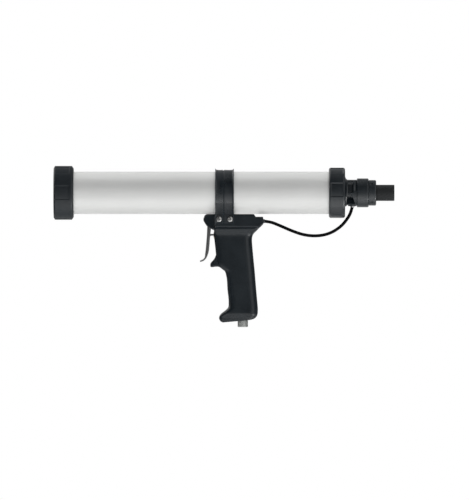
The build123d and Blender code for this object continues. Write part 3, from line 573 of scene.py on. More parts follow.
class Graph:
    """The shader nodes of a material or of the world, added and joined in short calls."""

    def __init__(self, owner: bpy.types.Material | bpy.types.World) -> None:
        """Empty the owner's nodes and give it an output node."""
        self.owner = owner
        self.owner.use_nodes = True
        self.tree = self.owner.node_tree
        self.tree.nodes.clear()
        kind = "World" if isinstance(owner, bpy.types.World) else "Material"
        self.output = self.tree.nodes.new("ShaderNodeOutput" + kind)

    @classmethod
    def look(cls, name: str) -> "Graph":
        """Start the nodes of a new material of that name."""
        return cls(bpy.data.materials.new(name))

    def close(self, surface: Socket) -> None:
        """Join a shader to the output."""
        self.tree.links.new(surface, self.output.inputs["Surface"])

    def add(self, kind: str, sockets: dict | None = None, **settings: object) -> bpy.types.Node:
        """Add a node.

        Args:
            kind: The node's type, without ShaderNode.
            sockets: Values or output sockets for its inputs, by name or place.
            settings: The node's own settings.

        Returns:
            The node.
        """
        node = self.tree.nodes.new("ShaderNode" + kind)
        for key, value in settings.items():
            setattr(node, key, value)
        for key, value in (sockets or {}).items():
            if isinstance(value, Socket):
                self.tree.links.new(value, node.inputs[key])
            else:
                node.inputs[key].default_value = value
        return node

    def noise(self, size: float, detail: float, stretch: Place = (1.0, 1.0, 1.0)) -> Socket:
        """Noise on object coordinates.

        Args:
            size: Size of a speck, in metres.
            detail: Octaves of finer specks.
            stretch: How many times longer a speck is along each axis.

        Returns:
            Its value, from 0 to 1.
        """
        place = self.add("TexCoord").outputs["Object"]
        scale = tuple(1 / s for s in stretch)
        moved = self.add("Mapping", {"Vector": place, "Scale": scale}).outputs[0]
        return self.add("TexNoise", {"Vector": moved, "Scale": 1 / size, "Detail": detail}).outputs[0]

    def spread(self, value: Socket, low: float, high: float) -> Socket:
        """Stretch the middle half of a noise's values over low to high."""
        node = self.add("MapRange", {"Value": value, 1: 0.3, 2: 0.7, 3: low, 4: high}, clamp=True)
        return node.outputs[0]

    def around(self, value: Socket, middle: float, reach: float) -> Socket:
        """Stretch a noise over a number, from reach less to reach more."""
        return self.spread(value, middle - reach, middle + reach)

    def mix(self, share: Socket | float, first: Socket | Colour, second: Socket | Colour) -> Socket:
        """Mix two colours by a share of the second."""
        sockets = {0: share, 6: opaque(first), 7: opaque(second)}
        return self.add("Mix", sockets, data_type="RGBA").outputs[2]

    def product(self, first: Socket, second: Socket | float) -> Socket:
        """Multiply two numbers."""
        return self.add("Math", {0: first, 1: second}, operation="MULTIPLY").outputs[0]

    def total(self, first: Socket, second: Socket | float) -> Socket:
        """Add two numbers."""
        return self.add("Math", {0: first, 1: second}, operation="ADD").outputs[0]

    def step(self, value: Socket, low: float, high: float) -> Socket:
        """Smooth step of a number from 0 at low to 1 at high."""
        sockets = {"Value": value, 1: low, 2: high}
        return self.add("MapRange", sockets, interpolation_type="SMOOTHSTEP").outputs[0]

    def levels(self, value: Socket, stops: Sequence[tuple[float, float]]) -> Socket:
        """Grey levels along a number from 0 to 1, straight between stops of (number, level)."""
        node = self.add("ValToRGB", {0: value})
        elements = node.color_ramp.elements
        while len(elements) < len(stops):
            elements.new(1.0)
        for element, (place, level) in zip(elements, stops):
            element.position = place
            element.color = (level, level, level, 1)
        return node.outputs[0]

    def wear(self) -> Socket:
        """The mesh's own measure of how sharp an edge is."""
        return self.add("Attribute", attribute_name="wear").outputs["Fac"]

    def bump(self, height: Socket, depth: float) -> Socket:
        """Bump of that depth in metres."""
        return self.add("Bump", {"Height": height, "Distance": depth, "Strength": 1.0}).outputs[0]

    def tones(self, noise: Socket, colour: Colour, darkest: float, lightest: float) -> Socket:
        """Colour that drifts with a noise between two factors of itself."""
        return self.mix(self.spread(noise, 0, 1), shade(colour, darkest), shade(colour, lightest))

    def finish(self, **sockets: object) -> bpy.types.Material:
        """Close the graph with a surface shader.

        Args:
            sockets: Values or sockets of the shader, by name with _ for a space.

        Returns:
            The material.
        """
        named = {key.replace("_", " "): opaque(value) for key, value in sockets.items()}
        self.close(self.add("BsdfPrincipled", named).outputs[0])
        return self.owner


@dataclass(frozen=True)
class Plastic:
    """Moulded black or natural plastic: a fine even grain, slow changes of tone, and sharp edges made
    lighter, which is rubbed wear and, on the strap, also a painted highlight along its rims.
    """

    colour: Colour
    roughness: float = 0.42
    specular: float = 0.5
    grain: float = 0.55 * MM
    grain_depth: float = 0.012 * MM
    tone: float = 0.16
    tone_size: float = 22 * MM
    rub_and_highlight: float = 1.9
    rub_and_highlight_size: float = 2.4 * MM
    uneven: float = 0.05

    def material(self, name: str) -> bpy.types.Material:
        """Build the material under that name."""
        g = Graph.look(name)
        slow = g.noise(self.tone_size, 3)
        fine = g.noise(self.grain, 2)
        colour = g.tones(slow, self.colour, 1 - self.tone, 1 + self.tone)
        # sharp edges made lighter: rubbed wear, and where the factor is large, as on the strap, a painted
        # highlight too
        rub_and_highlight_share = g.product(g.wear(), g.spread(g.noise(self.rub_and_highlight_size, 4), 0.15, 0.85))
        colour = g.mix(rub_and_highlight_share, colour, shade(self.colour, self.rub_and_highlight))
        rough = g.around(slow, self.roughness, self.uneven)
        rough = g.total(rough, g.product(fine, 0.06))
        return g.finish(
            Base_Color=colour,
            Roughness=g.total(rough, g.product(rub_and_highlight_share, -0.06)),
            Specular_IOR_Level=self.specular,
            Normal=g.bump(fine, self.grain_depth),
        )


@dataclass(frozen=True)
class DrawnMetal:
    """Satin metal with faint lines along the way it was drawn, turned or brushed."""

    colour: Colour
    roughness: float
    line: Place
    line_size: float = 0.18 * MM
    line_depth: float = 0.0025 * MM
    stain: float = 0.06
    stain_size: float = 30 * MM
    uneven: float = 0.05
    metallic: float = 1.0

    def material(self, name: str) -> bpy.types.Material:
        """Build the material under that name."""
        g = Graph.look(name)
        lines = g.noise(self.line_size, 3, self.line)
        slow = g.noise(self.stain_size, 3)
        bright = g.tones(slow, self.colour, 1 - self.stain, 1 + self.stain / 3)
        colour = g.mix(g.product(g.spread(lines, 0, 1), 0.35), bright, shade(self.colour, 0.9))
        colour = g.mix(g.product(g.wear(), 0.5), colour, shade(self.colour, 1.25))
        rough = g.around(lines, self.roughness, self.uneven)
        return g.finish(
            Base_Color=colour,
            Metallic=self.metallic,
            Roughness=g.total(rough, g.around(slow, 0, 0.03)),
            Normal=g.bump(lines, self.line_depth),
        )


@dataclass(frozen=True)
class Rubber:
    """Soft black rubber or hose skin, with a faint bloom."""

    colour: Colour
    roughness: float
    bloom: float = 0.5
    bloom_size: float = 6 * MM
    grain: float = 0.5 * MM
    grain_depth: float = 0.006 * MM
    uneven: float = 0.06
    sheen: float = 0.1
    specular: float = 0.5

    def material(self, name: str) -> bpy.types.Material:
        """Build the material under that name."""
        g = Graph.look(name)
        slow = g.noise(self.bloom_size, 4)
        colour = g.tones(slow, self.colour, 1 - self.bloom / 2, 1 + self.bloom)
        return g.finish(
            Base_Color=colour,
            Roughness=g.around(slow, self.roughness, self.uneven),
            Sheen_Weight=self.sheen,
            Specular_IOR_Level=self.specular,
            Normal=g.bump(g.noise(self.grain, 2), self.grain_depth),
        )


@dataclass(frozen=True)
class Sintered:
    """Bronze pressed from grains, open between them, with painted shade in the gaps between grains."""

    colour: Colour
    grain: float = 0.5 * MM
    grain_depth: float = 0.12 * MM

    def material(self, name: str) -> bpy.types.Material:
        """Build the material under that name."""
        g = Graph.look(name)
        place = g.add("TexCoord").outputs["Object"]
        cell = g.add("TexVoronoi", {"Vector": place, "Scale": 1 / self.grain}).outputs["Distance"]
        # gaps between grains darkened: painted shade in the recesses
        pore_shade = g.add("MapRange", {"Value": cell, 1: 0.15, 2: 0.6}).outputs[0]
        colour = g.mix(pore_shade, self.colour, shade(self.colour, 0.25))
        height = g.add("Math", {0: 1.0, 1: cell}, operation="SUBTRACT").outputs[0]
        normal = g.bump(height, self.grain_depth)
        return g.finish(Base_Color=colour, Metallic=1.0, Roughness=0.5, Normal=normal)


Finish = Plastic | DrawnMetal | Rubber | Sintered
BLACK = (0.0046, 0.0078, 0.0106)
# how many times longer a metal's lines are along each axis
ALONG_X = (60.0, 1.0, 1.0)
ALONG_Z = (1.0, 1.0, 25.0)
ROUND_X = (1.0, 30.0, 30.0)
ROUND_Z = (30.0, 30.0, 1.0)
NO_LINES = (1.0, 1.0, 1.0)
GLOSSY_NUT = Plastic(BLACK, roughness=0.3, specular=1.0)
FINISHES: dict[Slot, Finish] = {
    Slot.BARREL: DrawnMetal((0.675, 0.68, 0.67), 0.45, ALONG_X, metallic=0.28, stain=0.02),
    Slot.CAP: Plastic(BLACK, roughness=0.46, specular=0.6),
    Slot.HEAD: Plastic(BLACK, roughness=0.36, specular=0.8),
    Slot.KNOB: Plastic(BLACK, roughness=0.3, specular=1.0),
    Slot.TUBE: Plastic(
        (0.019, 0.0205, 0.0215), roughness=0.5, specular=0.15, grain=0.8 * MM, grain_depth=0.006 * MM
    ),
    # edges made five times lighter: rubbed wear plus a painted highlight along the strap's rims
    Slot.STRAP: Plastic(BLACK, roughness=0.26, specular=1.0, grain_depth=0.004 * MM, rub_and_highlight=5.0),
    Slot.BLOCK: Plastic(BLACK, roughness=0.32, specular=0.48),
    Slot.GRIP: Plastic(BLACK, roughness=0.3, specular=0.52, grain=0.7 * MM, grain_depth=0.015 * MM),
    Slot.HOSE: Rubber((0.003, 0.003, 0.0035), 0.27, bloom=0.3, sheen=0.0, specular=0.06),
    Slot.PISTON: Plastic((0.62, 0.62, 0.58), roughness=0.35, tone=0.04, rub_and_highlight=1.05),
    Slot.SEAL: Rubber((0.012, 0.012, 0.012), 0.5),
    Slot.TRIGGER: DrawnMetal((0.33, 0.335, 0.335), 0.36, ALONG_Z),
    Slot.SCREW: DrawnMetal((0.60, 0.60, 0.59), 0.3, NO_LINES, line_size=0.4 * MM),
    Slot.INLET: DrawnMetal((0.32, 0.33, 0.32), 0.42, ROUND_Z, metallic=0.3),
    Slot.TURNED: DrawnMetal((0.62, 0.62, 0.63), 0.3, ROUND_X),
    Slot.SPRING: DrawnMetal((0.45, 0.45, 0.45), 0.34, NO_LINES),
    Slot.BRASS: DrawnMetal((0.68, 0.50, 0.22), 0.3, ROUND_X),
    Slot.BRONZE: Sintered((0.44, 0.31, 0.18)),
}


def hide_from_bounces(piece: bpy.types.Object) -> None:
    """Keep a piece out of the light that bounces off the pieces round it."""
    piece.visible_diffuse = False
    piece.visible_glossy = False


class Paint:
    """Gives pieces and carried-over nodes the finish of their slot, one material for each slot."""

    def __init__(self) -> None:
        """Make every slot's material."""
        self.made = {slot: finish.material(slot.value + "_look") for slot, finish in FINISHES.items()}

    def dress(
        self,
        piece: bpy.types.Object,
        slot: Slot,
        body: Body,
        node: str,
        finish: Finish | None = None,
        ends: tuple[Place, Place] | None = None,
    ) -> bpy.types.Object:
        """Finish a piece and hand it to the model.

        Args:
            piece: The piece.
            slot: The slot that it belongs to, and that its finish comes from.
            body: The body that it rides on.
            node: The node that it stands for.
            finish: A finish of its own, in place of the slot's.
            ends: Where a piece that reaches from the gun to its body starts and ends; only whether it is
                given is read, and then the piece stays fixed in place instead of riding on its body.

        Returns:
            The piece.
        """
        own = finish.material(piece.name + "_look") if finish else self.made[slot]
        piece.data.materials.append(own)
        if ends:
            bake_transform(piece)
        else:
            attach(piece, body.value)
        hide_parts(node)
        log.info("%s: %s on %s", piece.name, slot.value, body.value)
        return piece

    def dress_nodes(self) -> None:
        """Give every node of the model that still shows the finish of its own slot."""
        for part in frame["record"]["subparts"]:
            node = frame["nodes"][part["node"]]
            if node.hide_render:
                continue
            node.data.materials.clear()
            node.data.materials.append(self.made[Slot(part["material_slot"])])
            if node.name == "block_screws":
                hide_from_bounces(node)
            log.info("%s: carried over", node.name)


# ---------------------------------------------------------------- studio
@dataclass
class Studio:
    """Camera, lights, pale floor and the white room round the gun."""

    look_at: Place = (230.5 * MM, 0.0, -72.85 * MM)
    view_height: float = 637.4 * MM
    lens: float = 800.0
    sensor: float = 36.0
    floor_drop: float = 290 * MM
    floor_radius: float = 600 * MM
    floor_fade: Pair = (0.55, 0.98)  # shares of the radius between which the floor turns white
    floor_seen: float = 0.72
    # grey of the floor behind the gun, seen by bounced light only: painted shade
    floor_shade_behind: float = 0.28
    # sheet that glows inside the handle block and paints light on the barrel's underside
    glow_card_ends: Pair = (40 * MM, 6 * MM)
    glow_card_half_width: float = 18 * MM
    glow_card_level: float = -31.3 * MM
    # height of the direction in degrees, level
    front_levels: tuple[Pair, ...] = (
        (-90, 0.95), (-60, 1.0), (-48, 1.0), (-32, 0.72), (-16, 0.36), (0, 0.09),
        (16, 0.1), (32, 0.035), (48, 0.01), (61, 0.06), (75, 0.16), (90, 0.22),
    )
    rear_levels: tuple[Pair, ...] = (
        (-90, 0.95), (-45, 0.9), (0, 0.45), (40, 0.32), (70, 0.25), (90, 0.22),
    )
    side_level: float = 0.12
    softbox_level: float = 0.8
    screen_level: float = 1.2

    def camera(self) -> bpy.types.Object:
        """Camera on the -Y side, level with the gun, as far off as its view height asks for."""
        data = bpy.data.cameras.new("camera")
        data.lens = self.lens
        data.sensor_width = self.sensor
        data.clip_start = 0.1
        data.clip_end = 50
        distance = self.view_height * self.lens / self.sensor
        camera = bpy.data.objects.new("camera", data)
        camera.location = (self.look_at[0], -distance, self.look_at[2])
        camera.rotation_euler = (math.pi / 2, 0, 0)
        bpy.context.scene.collection.objects.link(camera)
        bpy.context.scene.camera = camera
        return camera

    def room(self) -> None:
        """World that is plain white to the camera, and a studio round the gun to everything else.

        Its level follows the direction's height, with one set of stops for the side in front of the
        gun and one for the side behind it. It is dim far to the left and right, but for a softbox at
        the right in front and a screen at the left behind. Each of these is where all its steps, of
        (number, start, full), are past.
        """
        world = bpy.data.worlds.new("room")
        bpy.context.scene.world = world
        g = Graph(world)
        x, y, z = g.add("SeparateXYZ", {0: g.add("TexCoord").outputs["Generated"]}).outputs
        height = g.add("MapRange", {"Value": z, 1: -1.0}).outputs[0]
        front, behind = (
            g.levels(height, [((math.sin(math.radians(up)) + 1) / 2, level) for up, level in stops])
            for stops in (self.front_levels, self.rear_levels)
        )
        level = g.mix(g.step(y, -0.25, 0.35), front, behind)
        minus_x, minus_y = g.product(x, -1.0), g.product(y, -1.0)
        aside = g.add("Math", {0: x}, operation="ABSOLUTE").outputs[0]
        softbox = (x, 0.15, 0.4), (minus_x, -0.92, -0.75), (minus_y, 0.0, 0.25)
        screen = (minus_x, 0.3, 0.5), (y, 0.0, 0.2), (z, 0.0, 0.3)
        for steps, bright in (
            ([(aside, 0.35, 0.7)], self.side_level),
            (softbox, self.softbox_level),
            (screen, self.screen_level),
        ):
            share = g.step(*steps[0])
            for number, start, full in steps[1:]:
                share = g.product(share, g.step(number, start, full))
            level = g.mix(share, level, (bright,) * 3)
        studio = g.add("Background", {"Color": level}).outputs[0]
        white = g.add("Background", {"Color": WHITE}).outputs[0]
        seen = g.add("LightPath").outputs["Is Camera Ray"]
        g.close(g.add("MixShader", {0: seen, 1: studio, 2: white}).outputs[0])

    def sun(self, name: str, way: Place, level: float, spread: float, matt: bool = True) -> None:
        """Add a soft distant lamp.

        Args:
            name: Its name.
            way: Direction that its light comes from.
            level: How bright it makes a white card that faces it.
            spread: How wide it is, in degrees.
            matt: Whether it lights matt surfaces only; if not, it makes highlights only.
        """
        data = bpy.data.lights.new(name, "SUN")
        data.energy = level * math.pi
        data.angle = math.radians(spread)
        lamp = bpy.data.objects.new(name, data)
        lamp.rotation_euler = Vector(way).to_track_quat("Z", "Y").to_euler()
        lamp.visible_glossy = not matt
        lamp.visible_diffuse = matt
        bpy.context.scene.collection.objects.link(lamp)

    def floor(self) -> None:
        """Pale round floor under the gun, which fades into the white room at its rim.

        To everything but the camera it is darker behind the gun, painted shade that dims the light it
        bounces onto the gun's lower rear, and it isn't there from below.
        """
        low = CAD_BOX[0].z - self.floor_drop
        radius = np.concatenate([[0], np.linspace(20 * MM, self.floor_radius, 24)])
        turn = full_turn(96)
        grid = np.stack(
            [
                self.look_at[0] + radius[:, None] * np.cos(turn),
                radius[:, None] * np.sin(turn),
                np.full((len(radius), len(turn)), low),
            ],
            axis=-1,
        )
        piece = mesh_piece("floor", skin(grid))
        g = Graph.look("pale_floor")
        place = g.add("TexCoord").outputs["Object"]
        moved = g.add("Mapping", {"Vector": place, "Location": (-self.look_at[0], 0, -low)}).outputs[0]
        reach = g.add("VectorMath", {0: moved}, operation="LENGTH").outputs["Value"]
        start, end = (self.floor_radius * share for share in self.floor_fade)
        rim = g.add("MapRange", {"Value": reach, 1: start, 2: end}).outputs[0]
        seen = g.add("LightPath").outputs["Is Camera Ray"]
        depth = g.add("SeparateXYZ", {0: place}).outputs["Y"]
        near, far = (self.floor_seen,) * 3, (self.floor_shade_behind,) * 3
        # darker behind the gun to everything but the camera: painted shade on the floor
        painted_shade = g.mix(g.step(depth, -0.2, 0.1), near, far)
        pale = g.add("BsdfDiffuse", {"Color": g.mix(seen, painted_shade, near)}).outputs[0]
        white = g.add("Emission", {"Color": WHITE}).outputs[0]
        share = g.product(rim, seen)
        above = g.add("MixShader", {0: share, 1: pale, 2: white}).outputs[0]
        clear = g.add("BsdfTransparent").outputs[0]
        under = g.add("NewGeometry").outputs["Backfacing"]
        g.close(g.add("MixShader", {0: under, 1: clear, 2: above}).outputs[0])
        piece.data.materials.append(g.owner)
        piece.visible_shadow = False

    def glow_card(self) -> None:
        """Card inside the handle block that glows white though it is no lamp: bounced light passes the
        block to reach it, and it paints light on the barrel over the block.
        """
        low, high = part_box("handle_block")
        x = (low.x + self.glow_card_ends[0], high.x - self.glow_card_ends[1])
        y = (-self.glow_card_half_width, self.glow_card_half_width)
        grid = np.stack([*np.meshgrid(x, y, indexing="ij"), np.full((2, 2), self.glow_card_level)], axis=-1)
        piece = mesh_piece("barrel_glow_card", skin(grid, ring_columns=False))
        g = Graph.look("glowing_card")
        # the card glows: painted light on the barrel over the block
        g.close(g.add("Emission", {"Color": WHITE}).outputs[0])
        piece.data.materials.append(g.owner)

    def build(self) -> None:
        """Make the camera, the room, the lamps, the floor and the glowing card."""
        bpy.context.scene.view_settings.view_transform = "Standard"
        self.camera()
        self.room()
        self.sun("sky", (0.0, 0.43, 1.0), 1.15, 50)
        self.sun("front_fill", (0.0, -1.0, -0.1), 0.39, 60)
        self.sun("low_fill", (0.0, -0.35, -1.0), 0.66, 60)
        self.sun("low_right", (0.61, -0.35, -0.71), 0.35, 17, matt=False)
        self.floor()
        self.glow_card()


# ---------------------------------------------------------------- air hose
@dataclass
class AirHose:
    """Black air hose from the handle block round to the regulator, and its two collars."""

    # control points in metres, x and z
    route: tuple[Pair, ...] = (
        (0.2642, -0.0361), (0.2745, -0.0361), (0.2895, -0.0422), (0.3050, -0.0491),
        (0.3200, -0.0540), (0.3360, -0.0552), (0.3515, -0.0522), (0.3655, -0.0438),
        (0.3746, -0.0330), (0.3795, -0.0236), (0.3812, -0.0146),
    )
    radius: float = 2.0 * MM
    length: float = 140.4 * MM
    collar_wall: float = 1.15 * MM
    collar_gap: float = 0.05 * MM
    collar_lengths: Pair = (5.0 * MM, 3.8 * MM)
    collar_step: Pair = (0.62, 0.7)  # shares of the length between which it narrows

    def curve(self) -> bpy.types.Object:
        """Smooth curve of the second degree with the route's points as its control points."""
        data = bpy.data.curves.new("hose", "CURVE")
        data.dimensions = "3D"
        data.resolution_u = 24
        data.bevel_depth = self.radius
        data.bevel_resolution = 8
        data.use_fill_caps = True
        spline = data.splines.new("NURBS")
        spline.points.add(len(self.route) - 1)
        for point, (x, z) in zip(spline.points, self.route):
            point.co = (x, 0, z, 1)
        spline.order_u = 3
        spline.use_endpoint_u = True
        piece = bpy.data.objects.new("hose", data)
        bpy.context.scene.collection.objects.link(piece)
        return piece

    def collar(self, name: str, start: Pair, way: Pair, length: float) -> bpy.types.Object:
        """Turned collar round one end of the hose.

        Args:
            name: The piece's name.
            start: Where the hose's end lies, as (x, z).
            way: The next point of the route.
            length: The collar's length.

        Returns:
            The collar.
        """
        run = np.array([way[0] - start[0], 0, way[1] - start[1]])
        run = run / np.linalg.norm(run)
        inner, outer = self.radius + self.collar_gap, self.radius + self.collar_wall
        profile = rounded([
            (0, inner, 0),
            (0, outer, 0),
            (length * self.collar_step[0], outer, 0.3 * MM),
            (length * self.collar_step[1], outer - 0.6 * MM, 0.2 * MM),
            (length, outer - 0.7 * MM, 0.25 * MM),
            (length, inner, 0.15 * MM),
        ])
        return mesh_piece(name, turned(profile, Axle((start[0], 0, start[1]), tuple(run)), 64))

    def build(self, paint: Paint) -> None:
        first, last = self.route[0], self.route[-1]
        collars = [
            self.collar("hose_collar_front", first, self.route[1], self.collar_lengths[0]),
            self.collar("hose_collar_rear", last, self.route[-2], self.collar_lengths[1]),
        ]
        paint.dress(collars[0], Slot.KNOB, Body.GUN, "handle_hose_collar")
        paint.dress(collars[1], Slot.TURNED, Body.GUN, "body_hose_collar")
        hose = paint.dress(self.curve(), Slot.HOSE, Body.GUN, "air_hose")


# ---------------------------------------------------------------- barrel and its ends
@dataclass
class Barrel:
    """Drawn tube that holds the cartridge."""

    wall: float = 1.5 * MM
    edge: float = 0.4 * MM

    def build(self, paint: Paint) -> None:
        """Turn the tube with its rims eased."""
        low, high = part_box("barrel_tube")
        inner = high.z - self.wall
        profile = rounded([
            (low.x, inner, self.edge),
            (low.x, high.z, self.edge),
            (high.x, high.z, self.edge),
            (high.x, inner, self.edge),
        ])
        piece = mesh_piece("drawn_barrel", turned(profile, angles=256))
        paint.dress(piece, Slot.BARREL, Body.GUN, "barrel_tube")


@dataclass(frozen=True)
class Hollows:
    """Equally spaced shallow hollows in the outside of a turned piece."""

    count: int
    centre: float
    half_angle: float
    depth: float
    soft: float

    def share(self, angle: Array, radius: float) -> Array:
        """How far into a hollow each angle lies, from 0 to 1, on a piece of that radius."""
        half = self.half_angle * radius
        away = from_centre(angle, self.centre, self.count) * radius
        return 1 - soft_step(away, half, self.soft)

    def angles(self, base: int, radius: float) -> Array:
        """Angles for a full turn of that radius, close together at the hollows' sides."""
        sides = both_sides(self.count, self.centre, self.half_angle)
        return round_angles(base, sides, self.soft / radius, 9)


@dataclass
class FrontCap:
    """Screwed front cap with six shallow hand hollows, a plain rim and a threaded nozzle bore."""

    hollows: Hollows = Hollows(6, 0, math.radians(15), depth=0.5 * MM, soft=0.9 * MM)
    rim: float = 5.4 * MM
    rim_soft: float = 1.0 * MM
    front_bevel: Pair = (1.7 * MM, 2.9 * MM)
    rear_bevel: Pair = (2.2 * MM, 3.3 * MM)
    bore: float = 13.5 * MM
    front_wall: float = 4.5 * MM
    dish: float = 0.7 * MM
    thread_pitch: float = 1.5 * MM
    thread_depth: float = 0.45 * MM
    thread_ends: Pair = (0.6 * MM, 0.3 * MM)
    wall: float = 7.24 * MM

    def shape(self, along: Array, radius: Array, angle: Array) -> tuple[Array, Array]:
        """Take the hollows out of the outside, from the front bevel to the rim, and cut the thread.

        Args:
            along: Distance along the barrel.
            radius: Radius of the plain profile.
            angle: Angle round the barrel.

        Returns:
            The distance and the new radius.
        """
        low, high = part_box("front_cap")
        step = high.x - self.rim
        hollow = self.hollows.share(angle, high.z)
        hollow = hollow * (1 - soft_step(along, step, self.rim_soft))
        outside = ramp(radius, high.z - self.wall + MM, high.z - self.front_bevel[1])
        inside = (radius < self.bore + NEAR) & (along > low.x + self.thread_ends[0])
        inside = inside & (along < low.x + self.front_wall - self.thread_ends[1])
        wave = thread(along, angle, self.thread_pitch)
        return along, radius - self.hollows.depth * hollow * outside + self.thread_depth * wave * inside

    def build(self, paint: Paint) -> None:
        """Turn the cap's profile with its hollows."""
        low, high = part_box("front_cap")
        outer = high.z
        inner = outer - self.wall
        front = low.x + self.front_wall
        profile = rounded([
            (low.x, self.bore, 0.5 * MM),
            (low.x, self.bore + 3.6 * MM, 0.4 * MM),
            (low.x + self.dish, self.bore + 4.4 * MM, 0.3 * MM),
            (low.x + self.dish, outer - 7.2 * MM, 0.3 * MM),
            (low.x, outer - 6.4 * MM, 0.4 * MM),
            (low.x, outer - self.front_bevel[1], 1.0 * MM),
            (low.x + self.front_bevel[0], outer, 1.0 * MM),
            (high.x - self.rear_bevel[0], outer, 1.2 * MM),
            (high.x, outer - self.rear_bevel[1], 1.0 * MM),
            (high.x, inner, 0.4 * MM),
            (front, inner, 0.3 * MM),
            (front, self.bore, 0.3 * MM),
        ])
        step = high.x - self.rim
        run = np.concatenate([np.linspace(4 * MM, step - MM, 8), step + np.linspace(-0.7, 0.7, 9) * MM])
        profile = with_stations(profile, outer, run)
        profile = with_stations(profile, self.bore, np.linspace(low.x + self.thread_ends[0], front, 40))
        angles = self.hollows.angles(180, outer)
        piece = mesh_piece("lobed_front_cap", turned(profile, angles=angles, shape=self.shape))
        paint.dress(piece, Slot.CAP, Body.CAP, "front_cap")


@dataclass
class RearNut:
    """Nut that holds the rear head in the barrel, with six shallow spanner hollows."""

    corner: float = 2.6 * MM
    hollows: Hollows = Hollows(6, math.radians(7), math.radians(16), depth=0.9 * MM, soft=1.1 * MM)
    land: float = 2.6 * MM
    land_soft: float = 1.2 * MM
    wall: float = 5.0 * MM
    rear_wall: float = 4.9 * MM
    hole: float = 16.85 * MM

    def shape(self, along: Array, radius: Array, angle: Array) -> tuple[Array, Array]:
        """Take the hollows out of the outside.

        Args:
            along: Distance along the barrel.
            radius: Radius of the plain profile.
            angle: Angle round the barrel.

        Returns:
            The distance and the new radius.
        """
        low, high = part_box("rear_nut")
        hollow = self.hollows.share(angle, high.z)
        hollow = hollow * band(along, low.x + self.land, high.x - self.land, self.land_soft)
        return along, radius - self.hollows.depth * hollow * (radius > high.z - 1.5 * MM)

    def build(self, paint: Paint) -> None:
        """Turn the nut's profile with its hollows."""
        low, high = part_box("rear_nut")
        outer, inner = high.z, high.z - self.wall
        plain = rounded([
            (low.x, inner, 0.3 * MM),
            (low.x, outer, self.corner),
            (high.x, outer, self.corner),
            (high.x, self.hole, 0.4 * MM),
            (high.x - self.rear_wall, self.hole, 0),
            (high.x - self.rear_wall, inner, 0),
        ])
        ends = [low.x + self.land, high.x - self.land]
        run = [e + np.linspace(-0.7, 0.7, 8) * MM for e in ends]
        run.append(np.linspace(ends[0] + MM, ends[1] - MM, 8))
        profile = with_stations(plain, outer, np.concatenate(run))
        angles = self.hollows.angles(168, outer)
        piece = mesh_piece("lobed_rear_nut", turned(profile, angles=angles, shape=self.shape))
        paint.dress(piece, Slot.CAP, Body.GUN, "rear_nut", finish=GLOSSY_NUT)


